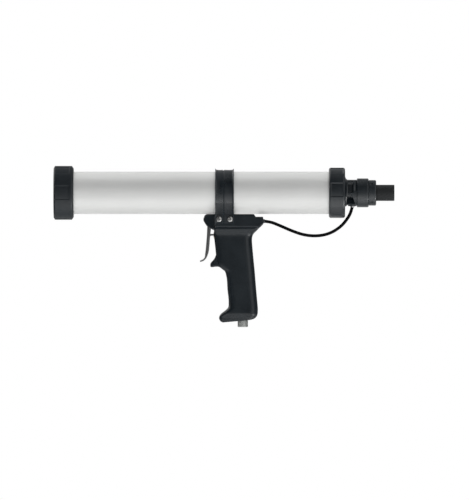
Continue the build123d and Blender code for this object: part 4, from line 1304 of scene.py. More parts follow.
# ---------------------------------------------------------------- rear head
@dataclass
class RegulatorHead:
    """Moulded rear head: ribbed hub with pockets, hose boss, sleeve, and the spigot in the barrel."""

    hub_radius: float = 16.65 * MM
    hub_length: float = 15.1 * MM
    ribs: int = 6
    rib_half_angle: float = math.radians(6)
    rib_centre: float = math.radians(-5)
    rib_soft: Pair = (0.3 * MM, 0.5 * MM)
    flare: Pair = (3.8 * MM, 6.3 * MM)  # length and height
    flare_start: float = 0.04 * MM
    low_from: float = 3.0 * MM  # how far under the axis the low pockets begin
    # each for the low pockets, then for the others
    pocket_start: Pair = (2.4 * MM, 3.6 * MM)
    pocket_end: Pair = (7.9 * MM, 10.0 * MM)
    pocket_soft: Pair = (1.1 * MM, 0.9 * MM)
    pocket_floor: Pair = (8.0 * MM, 13.5 * MM)
    # how far the low pockets' ends lean back, and over what distances under the axis
    lean: float = 4.4 * MM
    lean_over: Pair = (4.0 * MM, 15.0 * MM)
    slope_start: float = 10.9 * MM
    slope_drop: float = 1.6 * MM
    sleeve_radius: float = 14.0 * MM
    chamber_radius: float = 12.0 * MM
    supply_radius: float = 6.0 * MM
    shaft_radius: float = 2.5 * MM
    boss_radius: float = 5.5 * MM
    pipe_radius: float = 3.0 * MM
    spigot_radius: float = 25.45 * MM
    flange_radius: float = 27.0 * MM
    flange_length: float = 4.9 * MM
    slot_half_width: float = 2.5 * MM
    slot_length: float = 3.5 * MM

    @property
    def face(self) -> float:
        """Where the nut's rear face is along the barrel."""
        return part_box("rear_nut")[1].x

    def shape(self, along: Array, radius: Array, angle: Array) -> tuple[Array, Array]:
        """Sink the pockets between the ribs and flare the hub's front end.

        A pocket is full depth between two ribs, with soft sides and a sloping rear end. In the lower
        half it is deeper, and its rear end leans back towards the boss. Behind the upper pockets the
        hub slopes down to the knob. The flare is a quarter ellipse that meets the nut's rear face.

        Args:
            along: Distance along the barrel.
            radius: Radius of the plain profile.
            angle: Angle round the barrel.

        Returns:
            The distance and the new radius.
        """
        behind = along - self.face
        height = np.sin(angle)
        drop = -height * self.hub_radius
        start, end, soft, floor = (
            np.where(drop > self.low_from, *pair)
            for pair in (self.pocket_start, self.pocket_end, self.pocket_soft, self.pocket_floor)
        )
        end = end + self.lean * np.interp(drop, self.lean_over, (0, 1))
        away = from_centre(angle, self.rib_centre, self.ribs) * self.hub_radius
        side = self.rib_half_angle * self.hub_radius
        gap = ramp(away, side - self.rib_soft[0], side + self.rib_soft[1])
        gap = gap * (1 - ramp(height, 0.88, 0.93))
        deep = soft_step(behind, start, 0.7 * MM)
        deep = deep * (1 - ramp((behind - end) / soft, -1, 1))
        slope = np.clip((behind - self.slope_start) / (self.hub_length - self.slope_start), 0, 1)
        slope = slope * ramp(height, 0.1, 0.28) * (1 - ramp(height, 0.86, 0.94))
        depth = np.maximum((self.hub_radius - floor) * gap * deep, self.slope_drop * slope)
        share = 1 - np.clip((behind - self.flare_start) / self.flare[0], 0, 1)
        flare = self.flare[1] * (1 - np.sqrt(1 - share**2))
        flare = flare * (behind > self.flare_start - NEAR) * (0.25 + 0.75 * ramp(height, -0.6, 0.4))
        outside = (radius > self.hub_radius - 0.7 * MM) & (behind > -MM)
        return along, radius + np.where(outside, flare - depth, 0)

    def hub(self) -> Skin:
        """Spigot, flange and hub in one turned skin."""
        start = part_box("regulator_body")[0].x
        barrel_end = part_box("barrel_tube")[1].x
        flange, rear = self.face - self.flange_length, self.face + self.hub_length
        outline = rounded([
            (start, self.supply_radius, 0.2 * MM),
            (start, self.spigot_radius, 0.4 * MM),
            (barrel_end, self.spigot_radius, 0),
            (barrel_end, self.flange_radius, 0),
            (flange, self.flange_radius, 0),
            (flange, self.hub_radius, 0),
            (rear, self.hub_radius, 0.15 * MM),
            (rear, self.chamber_radius, 0),
            (rear - 2.5 * MM, self.chamber_radius, 0),
            (rear - 2.5 * MM, self.shaft_radius, 0),
            (rear - 4.5 * MM, self.shaft_radius, 0),
            (rear - 4.5 * MM, self.supply_radius, 0),
        ])
        run = np.concatenate([[0.02 * MM], np.linspace(0.06 * MM, self.hub_length - 0.95 * MM, 62)])
        line = with_stations(outline, self.hub_radius, self.face + run)
        sides = both_sides(self.ribs, self.rib_centre, self.rib_half_angle)
        angles = round_angles(120, sides, 0.9 * MM / self.hub_radius, 7)
        return turned(line, angles=angles, shape=self.shape)

    def sleeve(self) -> list[Skin]:
        """Sleeve behind the hub: a full ring, then two half rings between the plate's key slots."""
        front = self.face + self.hub_length - 0.1 * MM
        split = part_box("spring_plate")[0].x - self.slot_length
        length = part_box("regulator_body")[1].x - split
        inner, outer = self.chamber_radius, self.sleeve_radius
        ring = rounded([(front, inner, 0), (front, outer, 0), (split, outer, 0), (split, inner, 0)])
        wall = rounded([
            (0, inner, 0.2 * MM),
            (0, outer, 0.2 * MM),
            (length, outer, 0.3 * MM),
            (length, inner, 0.3 * MM),
        ])
        gap = math.asin(self.slot_half_width / outer)
        skins = [turned(ring)]
        for start in (gap, math.pi + gap):
            turn = np.linspace(start, start + math.pi - 2 * gap, 60)
            out = np.stack([0 * turn, -np.cos(turn), np.sin(turn)], axis=1)
            path = np.tile([split, 0.0, 0.0], (len(turn), 1))
            skins.append(carried(wall, path, AHEAD, out))
        return skins

    def boss(self) -> Skin:
        """Round boss under the hub that the hose goes into, with a fillet up to the hub."""
        centre = self.face + self.hub_length - self.boss_radius - 0.4 * MM
        bottom = -(self.hub_radius + 0.35 * MM)
        profile = rounded(
            [
                (0, 0, 0),
                (0, self.boss_radius, 0.9 * MM),
                (3.2 * MM, self.boss_radius, 1.5 * MM),
                (4.9 * MM, self.boss_radius + 1.4 * MM, 0.2 * MM),
                (4.9 * MM, self.pipe_radius, 0.2 * MM),
                (9.2 * MM, self.pipe_radius, 0),
                (9.2 * MM, 0, 0),
            ],
            closed=False,
        )
        return turned(profile, Axle((centre, 0, bottom), UP), 72, solid=True)

    def build(self, paint: Paint) -> None:
        """Join the head's skins."""
        piece = mesh_piece("ribbed_head", self.hub(), *self.sleeve(), self.boss())
        paint.dress(piece, Slot.HEAD, Body.GUN, "regulator_body")


@dataclass
class RearFittings:
    """Pressure knob, lock ring with pin holes, and the exhaust tube."""

    knob_edge: float = 1.4 * MM
    knob_front_wall: float = 4.34 * MM
    knob_wall: float = 2.84 * MM
    knob_step: float = 3.4 * MM
    ring_edge: float = 1.5 * MM
    ring_wall: float = 2.2 * MM
    ring_rear_wall: float = 4.0 * MM
    ring_hole: float = 10.33 * MM
    pin_holes: int = 4
    pin_hole_angle: float = math.radians(45)
    pin_hole_radius: float = 1.5 * MM
    pin_hole_depth: float = 0.9 * MM
    pin_hole_place: float = 0.42  # share of the ring's length
    tube_radius: float = 10.275 * MM
    tube_wall: float = 1.7 * MM
    tube_step: float = 0.275 * MM
    flange_radius: float = 12.55 * MM
    flange_length: float = 3.5 * MM

    def knob(self) -> bpy.types.Object:
        """Smooth knob with eased rims, thicker in front of the plate's slots."""
        low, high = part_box("regulator_knob")
        outer = high.z
        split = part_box("spring_plate")[0].x - self.knob_step
        profile = rounded([
            (low.x, outer - self.knob_front_wall, 0.2 * MM),
            (low.x, outer, 0.7 * MM),
            (high.x, outer, self.knob_edge),
            (high.x, outer - self.knob_wall, 0.2 * MM),
            (split, outer - self.knob_wall, 0),
            (split, outer - self.knob_front_wall, 0),
        ])
        return mesh_piece("pressure_knob", turned(profile, angles=144))

    def ring_shape(self, along: Array, radius: Array, angle: Array) -> tuple[Array, Array]:
        """Sink round pin holes into the ring's outside.

        A point is inside a hole where its distance from the hole's centre, measured along the
        surface, is under the hole's radius.

        Args:
            along: Distance along the barrel.
            radius: Radius of the plain profile.
            angle: Angle round the barrel.

        Returns:
            The distance and the new radius.
        """
        low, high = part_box("retaining_ring")
        centre = low.x + (high.x - low.x) * self.pin_hole_place
        round_way = from_centre(angle, self.pin_hole_angle, self.pin_holes) * high.z
        away = np.hypot(along - centre, round_way)
        hole = 1 - soft_step(away, self.pin_hole_radius, 0.3 * MM)
        return along, radius - self.pin_hole_depth * hole * (radius > high.z - NEAR)

    def ring(self) -> bpy.types.Object:
        """Lock ring with eased rims."""
        low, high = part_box("retaining_ring")
        outer = high.z
        inner, step = outer - self.ring_wall, high.x - self.ring_rear_wall
        profile = rounded([
            (low.x, inner, 0),
            (low.x, outer, 0.5 * MM),
            (high.x, outer, self.ring_edge),
            (high.x, self.ring_hole, 0.3 * MM),
            (step, self.ring_hole, 0),
            (step, inner, 0),
        ])
        centre = low.x + (high.x - low.x) * self.pin_hole_place
        profile = with_stations(profile, outer, np.linspace(centre - 2 * MM, centre + 2 * MM, 33))
        centres = self.pin_hole_angle + full_turn(self.pin_holes)
        angles = round_angles(120, centres, 2 * MM / outer, 33)
        return mesh_piece("lock_ring", turned(profile, angles=angles, shape=self.ring_shape))

    def tube(self) -> bpy.types.Object:
        """Exhaust tube with its inner flange, a step inside the ring and an eased mouth."""
        low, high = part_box("silencer_tube")
        outer, inner = self.tube_radius, self.tube_radius - self.tube_wall
        neck = outer - self.tube_step
        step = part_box("retaining_ring")[1].x + 0.05 * MM
        profile = rounded([
            (low.x, inner, 0),
            (low.x, self.flange_radius, 0),
            (low.x + self.flange_length, self.flange_radius, 0),
            (low.x + self.flange_length, neck, 0),
            (step, neck, 0),
            (step, outer, 0.12 * MM),
            (high.x, outer, 0.5 * MM),
            (high.x, inner, 0.4 * MM),
        ])
        return mesh_piece("exhaust_tube", turned(profile, angles=112))

    def build(self, paint: Paint) -> None:
        """Make the three pieces."""
        paint.dress(self.knob(), Slot.KNOB, Body.KNOB, "regulator_knob")
        paint.dress(self.ring(), Slot.KNOB, Body.GUN, "retaining_ring")
        paint.dress(self.tube(), Slot.TUBE, Body.GUN, "silencer_tube")


# ---------------------------------------------------------------- springs
@dataclass(frozen=True)
class Coil:
    """Compression spring along the gun, whose one end stands still while the other travels."""

    node: str
    body: Body
    still: float
    moving: float
    radius: float
    wire: float
    turns: float
    height: float = 0.0

    def build(self, paint: Paint) -> None:
        """Carry a round wire along a helix from the still end to the moving end's place at rest.

        At share t of its length the wire's middle has gone share t of the way from one end to the
        other, half a wire short at each, and is at angle 360·turns·t round the spring's axis.
        """
        name = self.node.replace("spring", "coil")
        share = np.linspace(0, 1, round(self.turns * 40))
        half = self.wire / 2 * (1 if self.moving > self.still else -1)
        x = self.still + half + (self.moving - self.still - 2 * half) * share
        turn = TAU * self.turns * share
        out = np.stack([0 * turn, np.cos(turn), np.sin(turn)], axis=1)
        path = self.radius * out + np.stack([x, 0 * x, 0 * x + self.height], axis=1)
        wire = self.wire / 2 * circle(full_turn(14))
        piece = mesh_piece(name, carried(wire, path, AHEAD, out))
        ends = (self.still, 0.0, self.height), (self.moving, 0.0, self.height)
        paint.dress(piece, Slot.SPRING, self.body, self.node, ends=ends)


@dataclass
class Springs:
    """The three springs inside the gun."""

    coils: tuple[Coil, ...] = (
        Coil("valve_spring", Body.SPINDLE, 245.0 * MM, 225.95 * MM, 3.0 * MM, 0.8 * MM, 8, -53.6 * MM),
        Coil("regulator_spring", Body.PLATE, 390.0 * MM, 398.0 * MM, 7.4 * MM, 1.2 * MM, 3.5),
        Coil("poppet_spring", Body.POPPET, 358.5 * MM, 377.95 * MM, 3.6 * MM, 0.9 * MM, 7),
    )

    def build(self, paint: Paint) -> None:
        """Make the springs."""
        for coil in self.coils:
            coil.build(paint)


# ---------------------------------------------------------------- clamp strap
@dataclass
class ClampStrap:
    """Strap over the barrel with raised rims and a line down its middle, and its four screws."""

    wall: float = 2.35 * MM
    rim_width: float = 0.6 * MM
    rim_height: float = 1.4 * MM
    draft: float = 0.9 * MM
    line_shift: float = -1.3 * MM
    dish: float = 0.25 * MM
    line_width: float = 1.2 * MM
    line_depth: float = 0.9 * MM
    bend: float = 16.0 * MM
    leg_inner: float = 21.65 * MM
    barrel_radius: float = 27.05 * MM
    screw_pitch: float = 14.0 * MM
    screw_rise: float = 5.4 * MM
    head_radius: float = 3.5 * MM
    head_height: float = 2.4 * MM
    rim_rise: float = 1.2 * MM
    cross_length: float = 4.4 * MM
    cross_width: float = 0.9 * MM
    cross_depth: float = 1.3 * MM
    screw_turns: tuple[float, ...] = (12, 38, 61, 27)

    def path(self) -> tuple[Array, Array]:
        """Inner line of the strap, from one leg's end over the barrel to the other's.

        Each leg is straight, then bends out on a circle that touches the leg's line and the
        barrel's circle: its centre is bend outside the leg and barrel_radius + bend from the axis.

        Returns:
            Points of the path and the outward direction at each.
        """
        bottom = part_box("clamp_strap")[0].z
        middle_y = self.leg_inner + self.bend
        middle_z = -math.sqrt((self.barrel_radius + self.bend) ** 2 - middle_y**2)
        touch = math.atan2(middle_z, middle_y)
        leg = np.concatenate([[bottom, bottom + HOLD], np.linspace(bottom + MM, middle_z, 12)])
        turn = np.linspace(math.pi, math.pi + touch, 9)[1:]
        bend_out = -circle(-turn)
        bend = np.array([middle_y, middle_z]) - self.bend * bend_out
        over = circle(np.linspace(touch, math.pi - touch, 150)[1:-1])
        side = np.vstack([np.stack([np.full(len(leg), self.leg_inner), leg], axis=1), bend])
        side_out = np.vstack([np.tile([1.0, 0.0], (len(leg), 1)), bend_out])
        flip = np.array([-1.0, 1.0])
        line = np.vstack([side, self.barrel_radius * over, (side * flip)[::-1]])
        out = np.vstack([side_out, over, (side_out * flip)[::-1]])
        zero = np.zeros((len(line), 1))
        return np.hstack([zero, line]), np.hstack([zero, out])

    def strap(self) -> bpy.types.Object:
        """Carry the strap's section along its path."""
        low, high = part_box("clamp_strap")
        middle, half = (low.x + high.x) / 2, (high.x - low.x) / 2
        top, groove, line = self.wall + self.rim_height, self.line_width / 2, self.line_shift
        section = rounded([
            (-half, 0, 0.3 * MM),
            (-half, top, 0.4 * MM),
            (self.rim_width - half, top, 0.25 * MM),
            (self.rim_width + self.draft - half, self.wall, 1.5 * MM),
            (-half / 2, self.wall - self.dish, 18 * MM),
            (line - groove - 0.1 * MM, self.wall, 0.2 * MM),
            (line - groove, self.wall - self.line_depth, 0.1 * MM),
            (line, self.wall - self.line_depth, 0.1 * MM),
            (line + groove + 0.4 * MM, self.wall, 0.6 * MM),
            (half / 2, self.wall - self.dish, 18 * MM),
            (half - self.rim_width - self.draft, self.wall, 1.5 * MM),
            (half - self.rim_width, top, 0.25 * MM),
            (half, top, 0.4 * MM),
            (half, 0, 0.3 * MM),
        ])
        path, out = self.path()
        path[:, 0] = middle
        return mesh_piece("saddle_strap", carried(section, path, AHEAD, out))

    def screw(self, name: str, x: float, side: int, turn: float) -> bpy.types.Object:
        """Pan-head screw with a cross recess.

        Over the head, height falls from the crown to the rim nearly as a circle does, and the cross
        takes away cross_depth, less towards the arms' ends, where the point lies inside either bar.

        Args:
            name: The piece's name.
            x: Where it is along the barrel.
            side: -1 or 1, for the gun's side.
            turn: Angle of the cross.

        Returns:
            The screw.
        """
        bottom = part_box("clamp_strap")[0].z
        edge = self.head_radius
        radius = np.concatenate([np.linspace(0, 2.5 * MM, 42), np.linspace(2.6 * MM, edge, 12)])
        crown = np.sqrt(np.maximum(1 - (radius / edge) ** 2.6, 0))
        dome = self.rim_rise + (self.head_height - self.rim_rise) * crown
        rim = rounded([(0, 0, 0), (0, edge, 0), (self.rim_rise, edge, 0)], closed=False)
        profile = np.vstack([rim[:-1], np.stack([dome, radius], axis=1)[::-1]])
        angle = full_turn(144)
        along, around = np.meshgrid(profile[:, 0], angle, indexing="ij")
        out = np.broadcast_to(profile[:, 1:], along.shape)
        a, b = np.abs(out * np.cos(around - turn)), np.abs(out * np.sin(around - turn))
        arm, half = self.cross_length / 2, self.cross_width / 2
        cross = np.maximum(self.bar(a, b, arm, half), self.bar(b, a, arm, half))
        along = along - cross * self.cross_depth * (along > self.rim_rise)
        seat = (x, side * (self.leg_inner + self.wall), bottom + self.screw_rise)
        axle = Axle(seat, (0, side, 0), AHEAD)
        grid = axle.place(along, out * np.cos(around), out * np.sin(around))
        return mesh_piece(name, skin(grid))

    @staticmethod
    def bar(a: Array, b: Array, arm: float, half: float) -> Array:
        """Depth share of one arm of the cross, shallower towards its end."""
        return (1 - soft_step(b, half, 0.16 * MM)) * (1 - ramp(a, arm * 0.45, arm))

    def build(self, paint: Paint) -> None:
        """Make the strap and its screws."""
        low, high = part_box("clamp_strap")
        paint.dress(self.strap(), Slot.STRAP, Body.GUN, "clamp_strap")
        middle = (low.x + high.x) / 2
        places = [(middle + end * self.screw_pitch / 2, side) for side in (-1, 1) for end in (-1, 1)]
        for number, ((x, side), turn) in enumerate(zip(places, self.screw_turns), start=1):
            screw = self.screw(f"strap_screw_{number}", x, side, math.radians(turn))
            paint.dress(screw, Slot.SCREW, Body.GUN, "strap_screws")


# ---------------------------------------------------------------- handle
@dataclass
class HandleBlock:
    """Moulded block between the strap and the grip: narrow nose, trigger slot and saddle wings."""

    strap_middle: float = 217.8 * MM
    nose_tip: float = 4.2 * MM
    nose_blunt: Pair = (4.2 * MM, 5.0 * MM)  # length and growth
    nose_taper: Pair = (3.0 * MM, 12.5 * MM)  # from the tip
    nose_half_width: float = 13.5 * MM
    half_width: float = 21.6 * MM
    underside: float = -44.4 * MM
    topside: float = -27.1 * MM
    edge: float = 2.4 * MM
    slot_half_width: float = 7.1 * MM
    slot_top: float = -35.4 * MM
    slot_ends: Pair = (194.0 * MM, 204.9 * MM)
    widening: Pair = (205.5 * MM, 206.3 * MM)
    rear_round: float = 1.2 * MM
    barrel_radius: float = 27.1 * MM
    wing_top: float = -19.0 * MM
    wing_bottom: float = -30.0 * MM
    wing_end: float = math.radians(-76)
    wing_reach: float = 10.8 * MM

    def lines(self) -> tuple[Array, Array]:
        """Upper and lower outlines in the middle plane, each as rows of (x, z), front to rear."""
        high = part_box("handle_block")[1]
        top, under = self.topside, self.underside
        outline = rounded([
            (192.6 * MM, top, 4.8 * MM),
            (high.x - 12.1 * MM, top, 0.8 * MM),
            (high.x - 9.9 * MM, top - 3.4 * MM, 0.8 * MM),
            (high.x - 0.4 * MM, top - 3.4 * MM, 0.8 * MM),
            (high.x, under + 4.7 * MM, 1.2 * MM),
            (high.x - 4.6 * MM, under, 1.2 * MM),
            (204.6 * MM, under, 0.3 * MM),
            (203.9 * MM, under - 3.4 * MM, 0.5 * MM),
            (195.2 * MM, -42.5 * MM, 7.0 * MM),
            (190.35 * MM, -35.0 * MM, 5.5 * MM),
        ])
        nose = int(outline[:, 0].argmin())
        outline = np.roll(outline, -nose, axis=0)
        rear = int(outline[:, 0].argmax())
        return outline[: rear + 1], np.vstack([outline[rear:], outline[:1]])[::-1]

    def wing(self, side: int) -> Skin:
        """Saddle wing under one strap leg: the wedge between the block, the barrel and the leg."""
        top, side_y = self.wing_top, self.half_width
        start = math.atan2(top, math.sqrt(self.barrel_radius**2 - top**2))
        arc = self.barrel_radius * circle(np.linspace(start, self.wing_end, 16))
        corners = [
            (6 * MM, self.wing_bottom),
            (side_y, self.wing_bottom),
            (side_y, top - 0.6 * MM),
            (side_y - 0.6 * MM, top),
        ]
        outline = np.vstack([arc, corners]) * [side, 1]
        reach = self.wing_reach
        path = np.array([(self.strap_middle + end, 0, 0) for end in (-reach, reach)])
        return carried(outline, path, (0.0, 1.0, 0.0), UP)

    def build(self, paint: Paint) -> None:
        """Loft upright sections from the nose to the rear face, and add the wings.

        The half width grows over the blunt nose as a circle does, then evenly, then in a step behind
        the trigger. At the rear face it tucks in round a quarter ellipse, and the height with it.
        """
        upper, lower = self.lines()
        front, back = upper[0, 0], upper[-1, 0]
        end = back - self.rear_round
        x = np.concatenate([
            front + np.linspace(0, 1, 36) ** 2 * 9 * MM,
            np.linspace(front + 9.5 * MM, 206.8 * MM, 44),
            np.linspace(207.2 * MM, back - 12.6 * MM, 40),
            np.linspace(back - 12.4 * MM, end, 30),
            end + self.rear_round * np.sin(np.linspace(0, TAU / 4, 12)),
            *[[e - NEAR, e + NEAR] for e in self.slot_ends],
        ])
        x = np.unique(np.clip(x, front + NEAR, back - NEAR))
        bent = np.clip((x - end) / self.rear_round, 0, 1)
        tuck = self.edge * (1 - np.sqrt(1 - bent**2))
        bottom = np.interp(x, lower[:, 0], lower[:, 1]) + 0.3 * tuck
        top = np.interp(x, upper[:, 0], upper[:, 1]) - 0.3 * tuck
        blunt = np.clip((x - front) / self.nose_blunt[0], 0, 1)
        wide = self.nose_tip + self.nose_blunt[1] * np.sqrt(blunt * (2 - blunt))
        taper = np.interp(x - front, self.nose_taper, (0, 1))
        wide = wide + (self.nose_half_width - self.nose_tip - self.nose_blunt[1]) * taper
        wide = wide + (self.half_width - self.nose_half_width) * ramp(x, *self.widening) - tuck
        radius = self.edge + 1.5 * MM * (1 - ramp(x, front, 203 * MM))
        inside = (x > self.slot_ends[0]) & (x < self.slot_ends[1])
        depth = np.where(inside, np.maximum(self.slot_top - bottom, 0), 0)
        body = loft(
            np.stack([x, bottom], axis=1),
            np.stack([x, top], axis=1),
            wide,
            np.minimum(radius, self.edge),
            radius,
            Notch(self.slot_half_width, depth),
        )
        piece = mesh_piece("pistol_block", body, self.wing(-1), self.wing(1))
        hide_from_bounces(piece)
        paint.dress(piece, Slot.BLOCK, Body.GUN, "handle_block")


@dataclass
class Grip:
    """Leaning pistol grip, which widens to the block, with a finger shelf and a forward toe."""

    # in millimetres: front x, z, back x, z, half width, front corner radius, back corner radius
    rungs: tuple[tuple[float, ...], ...] = (
        (204.3, -44.2, 262.6, -44.2, 19.9, 3.0, 4.0),
        (204.3, -45.3, 261.6, -45.3, 20.3, 3.5, 4.6),
        (204.3, -46.6, 260.4, -46.6, 20.15, 4.2, 5.4),
        (204.3, -48.3, 258.8, -48.3, 19.35, 5.0, 6.4),
        (204.35, -50.0, 257.0, -50.0, 18.2, 5.8, 7.4),
        (204.4, -51.8, 255.2, -51.8, 17.1, 6.5, 8.1),
        (204.5, -53.4, 254.2, -53.4, 16.5, 7.1, 8.6),
        (204.6, -55.0, 253.5, -55.0, 16.2, 7.6, 8.9),
        (204.7, -57.0, 253.0, -57.0, 16.05, 7.9, 9.0),
        (204.9, -60.0, 252.8, -60.0, 16.0, 8.0, 9.0),
        (206.0, -70.0, 253.4, -69.5, 16.0, 8.5, 9.0),
        (207.0, -80.0, 254.3, -79.5, 16.0, 8.5, 9.0),
        (208.2, -89.0, 255.1, -88.0, 16.0, 8.5, 9.0),
        (212.2, -95.2, 255.8, -95.0, 16.0, 8.5, 9.0),
        (217.6, -99.4, 256.3, -100.0, 16.0, 8.5, 9.0),
        (220.0, -106.0, 256.9, -107.5, 16.0, 8.5, 9.0),
        (221.6, -124.0, 258.3, -124.5, 16.0, 8.5, 9.0),
        (223.0, -139.5, 259.8, -141.0, 16.0, 8.5, 9.0),
        (222.2, -146.2, 260.35, -147.5, 16.0, 8.0, 9.0),
        (217.6, -150.8, 260.2, -152.2, 16.0, 7.5, 9.0),
        (213.6, -153.9, 259.95, -154.4, 15.75, 7.0, 8.8),
        (211.4, -156.8, 259.2, -156.8, 14.5, 6.5, 8.4),
        (210.8, -159.2, 257.8, -158.7, 13.3, 6.2, 7.8),
        (211.2, -161.3, 255.6, -160.4, 12.8, 5.6, 7.2),
        (212.6, -163.6, 252.4, -161.6, 12.3, 4.8, 6.0),
        (215.4, -165.2, 246.0, -162.6, 11.2, 3.8, 4.5),
    )
    # in millimetres: low x, z, high x, z, half width, low corner radius, high corner radius
    shelf: tuple[tuple[float, ...], ...] = (
        (217.0, -99.0, 212.0, -76.0, 11.5, 2.0, 2.0),
        (211.0, -94.6, 207.6, -78.0, 11.4, 2.2, 3.0),
        (206.2, -94.2, 205.0, -83.4, 11.2, 2.4, 3.2),
        (203.0, -94.7, 202.8, -86.4, 10.6, 2.4, 3.2),
        (200.8, -94.6, 201.0, -88.3, 9.3, 2.2, 2.8),
        (199.6, -93.7, 199.7, -90.2, 7.4, 1.5, 1.5),
    )

    @staticmethod
    def ladder(rungs: Sequence[Sequence[float]], count: int) -> Skin:
        """Loft through rungs, each in the order of the tables above."""
        table = through(np.array(rungs) * MM, count)
        return loft(table[:, 0:2], table[:, 2:4], table[:, 4], table[:, 5], table[:, 6])

    def build(self, paint: Paint) -> None:
        """Loft the grip down its length and the finger shelf forwards."""
        piece = mesh_piece("pistol_grip", self.ladder(self.rungs, 150), self.ladder(self.shelf, 40))
        paint.dress(piece, Slot.GRIP, Body.GUN, "grip")


@dataclass
class Trigger:
    """Pressed sheet trigger: a channel round the pivot that runs down into a curled finger tip."""

    half_width: float = 6.5 * MM
    sheet: float = 1.6 * MM
    tip_thinning: float = 0.12
    tip_depths: Pair = (78 * MM, 88 * MM)
    crown: float = 0.35 * MM
    eye: float = 3.4 * MM
    pin: float = 1.56 * MM
    pin_reach: float = 9.4 * MM
    pivot: Place = (198.0 * MM, 0.0, -40.0 * MM)
    # in millimetres: front x, z, rear x, z, half width
    rungs: tuple[tuple[float, ...], ...] = (
        (196.1, -41.0, 200.6, -41.0, 6.5),
        (195.9, -46.0, 200.4, -46.0, 6.5),
        (195.6, -53.0, 199.7, -53.2, 6.5),
        (195.1, -60.1, 199.0, -60.4, 6.5),
        (194.5, -67.0, 198.5, -67.5, 6.5),
        (193.9, -73.5, 197.7, -74.2, 6.5),
        (193.2, -78.6, 196.3, -79.4, 6.5),
        (192.6, -82.4, 194.4, -83.5, 6.4),
        (190.3, -84.9, 191.7, -86.3, 6.1),
        (187.9, -86.1, 188.5, -87.7, 5.3),
        (186.4, -86.6, 186.7, -87.9, 4.0),
    )

    def lever(self) -> Skin:
        """Channel section carried down the lever.

        At each station the section is a U: the web lies at the front, and two flanges of the sheet's
        thickness reach back to the rear line. Where the rear line is nearer than the sheet, the
        section is a flat strip.

        Returns:
            The skin.
        """
        table = through(np.array(self.rungs) * MM, 90)
        front, rear, h = table[:, 0:2], table[:, 2:4], table[:, 4:5]
        depth = np.linalg.norm(rear - front, axis=1)[:, None]
        unit = (rear - front) / depth
        t = self.sheet * (1 - self.tip_thinning * ramp(-front[:, 1:], *self.tip_depths))
        back = np.maximum(depth, t + 0.02 * MM)
        v = np.linspace(0, TAU / 4, 8)[None]
        s = np.linspace(0, 1, 6)[None]
        r, q = 1.1 * t, 0.35 * t
        crown = self.crown * (1 - s**2)
        half_d = [-crown, r - r * np.cos(v), r + (back - r - q) * s[:, 1:-1], back - q + q * np.sin(v)]
        half_y = [(h - r) * s, h - r + r * np.sin(v), h + 0 * s[:, 1:-1], h - q + q * np.cos(v)]
        inner = np.maximum(h - t, 0.2 * MM)
        half_d += [back + 0 * q, t + (back - t) * (1 - s[:, 1:]), t + 0 * s[:, 1:]]
        half_y += [inner, inner + 0 * s[:, 1:], inner * (1 - s[:, 1:])]
        d, y = (
            np.hstack([np.broadcast_to(part, (len(table), part.shape[1])) for part in half])
            for half in (half_d, half_y)
        )
        return upright(front, unit, d, y)

    def lugs(self) -> list[Skin]:
        """Two round eyes on the pivot pin."""
        skins = []
        for side in (-1, 1):
            inner, outer = self.half_width - self.sheet, self.half_width
            profile = rounded([
                (inner, self.pin, 0),
                (inner, self.eye, 0.2 * MM),
                (outer, self.eye, 0.3 * MM),
                (outer, self.pin, 0.2 * MM),
            ])
            skins.append(turned(profile, Axle(self.pivot, (0, side, 0), AHEAD), 48))
        return skins

    def pivot_pin(self) -> bpy.types.Object:
        """Pin through the nose and the eyes, with its ends eased."""
        reach, radius = self.pin_reach, self.pin - 0.06 * MM
        profile = rounded(
            [(-reach, 0, 0), (-reach, radius, 0.3 * MM), (reach, radius, 0.3 * MM), (reach, 0, 0)],
            closed=False,
        )
        axle = Axle(self.pivot, (0, 1, 0), AHEAD)
        return mesh_piece("pivot_pin", turned(profile, axle, 40, solid=True))

    def build(self, paint: Paint) -> None:
        """Join the lever and its eyes, and add the pivot pin."""
        paint.dress(self.pivot_pin(), Slot.SCREW, Body.GUN, "trigger_pin")
        piece = mesh_piece("trigger_lever", self.lever(), *self.lugs())
        paint.dress(piece, Slot.TRIGGER, Body.TRIGGER, "trigger")


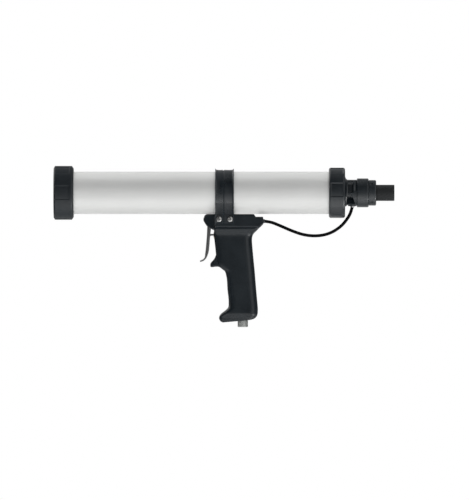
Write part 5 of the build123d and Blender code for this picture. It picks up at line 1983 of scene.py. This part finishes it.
@dataclass
class Valve:
    """Valve stem that the trigger pushes, and the gland that it comes out of."""

    stem_radius: float = 1.35 * MM
    nose_radius: float = 1.8 * MM
    gland_radius: float = 5.6 * MM
    gland_face: float = 203.9 * MM

    def build(self, paint: Paint) -> None:
        """Turn the stem with a domed nose, and the gland's face."""
        low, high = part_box("valve_spindle")
        axle = Axle((0, 0, (low.z + high.z) / 2))
        r, nose = self.stem_radius, self.nose_radius
        stem = rounded(
            [
                (low.x, 0, 0),
                (low.x, nose, 0.8 * MM),
                (low.x + 2.2 * MM, nose, 0.25 * MM),
                (low.x + 2.6 * MM, r, 0.2 * MM),
                (high.x, r, 0.2 * MM),
                (high.x, 0, 0),
            ],
            closed=False,
        )
        piece = mesh_piece("valve_stem", turned(stem, axle, 40, solid=True))
        paint.dress(piece, Slot.TURNED, Body.SPINDLE, "valve_spindle")
        face, rear = self.gland_face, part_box("valve_gland")[1].x
        gland = rounded([
            (face, r + 0.1 * MM, 0.3 * MM),
            (face, 3.2 * MM, 0.4 * MM),
            (face + 0.5 * MM, 3.5 * MM, 0.1 * MM),
            (face + 0.5 * MM, self.gland_radius, 0.4 * MM),
            (rear, self.gland_radius, 0.2 * MM),
            (rear, r + 0.1 * MM, 0),
        ])
        piece = mesh_piece("gland_bush", turned(gland, axle, 64))
        paint.dress(piece, Slot.BRASS, Body.GUN, "valve_gland")


@dataclass
class Inlet:
    """Turned air inlet under the grip, with a thread inside its mouth."""

    edge: float = 0.8 * MM
    bore: float = 4.2 * MM
    inner_bore: float = 2.5 * MM
    pitch: float = 1.0 * MM
    thread_depth: float = 0.4 * MM
    depth: float = 14.0 * MM

    def shape(self, along: Array, radius: Array, angle: Array) -> tuple[Array, Array]:
        """Cut the thread in the bore.

        Args:
            along: Distance up from the mouth.
            radius: Radius of the plain profile.
            angle: Angle round the inlet's axis.

        Returns:
            The distance and the new radius.
        """
        inside = (radius < self.bore + NEAR) & (along > 0.7 * MM) & (along < self.depth - MM)
        return along, radius + self.thread_depth * thread(along, angle, self.pitch) * inside

    def build(self, paint: Paint) -> None:
        """Turn the inlet about its upright axis."""
        low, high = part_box("inlet_adaptor")
        outer = (high.x - low.x) / 2
        top = high.z - low.z
        profile = rounded([
            (0, self.bore + 0.5 * MM, 0.1 * MM),
            (0, outer - self.edge, 0.2 * MM),
            (self.edge, outer, 0.3 * MM),
            (top, outer, 0.3 * MM),
            (top, self.inner_bore, 0),
            (self.depth, self.inner_bore, 0),
            (self.depth, self.bore, 0),
        ])
        run = np.linspace(0.8 * MM, self.depth - 0.5 * MM, 110)
        profile = with_stations(profile, self.bore, run)
        axle = Axle(((low.x + high.x) / 2, 0, low.z), UP)
        piece = mesh_piece("inlet_stub", turned(profile, axle, 96, shape=self.shape))
        paint.dress(piece, Slot.INLET, Body.GUN, "inlet_adaptor")


def main() -> None:
    """Make the studio, then every sub-assembly from the hose to the inlet."""
    logging.basicConfig(level=logging.INFO, format="%(message)s")
    Studio().build()
    paint = Paint()
    assemblies = (
        AirHose(),
        Barrel(),
        FrontCap(),
        RearNut(),
        RegulatorHead(),
        RearFittings(),
        Springs(),
        ClampStrap(),
        HandleBlock(),
        Grip(),
        Trigger(),
        Valve(),
        Inlet(),
    )
    for assembly in assemblies:
        assembly.build(paint)
    paint.dress_nodes()


if __name__ == "__main__":
    main()
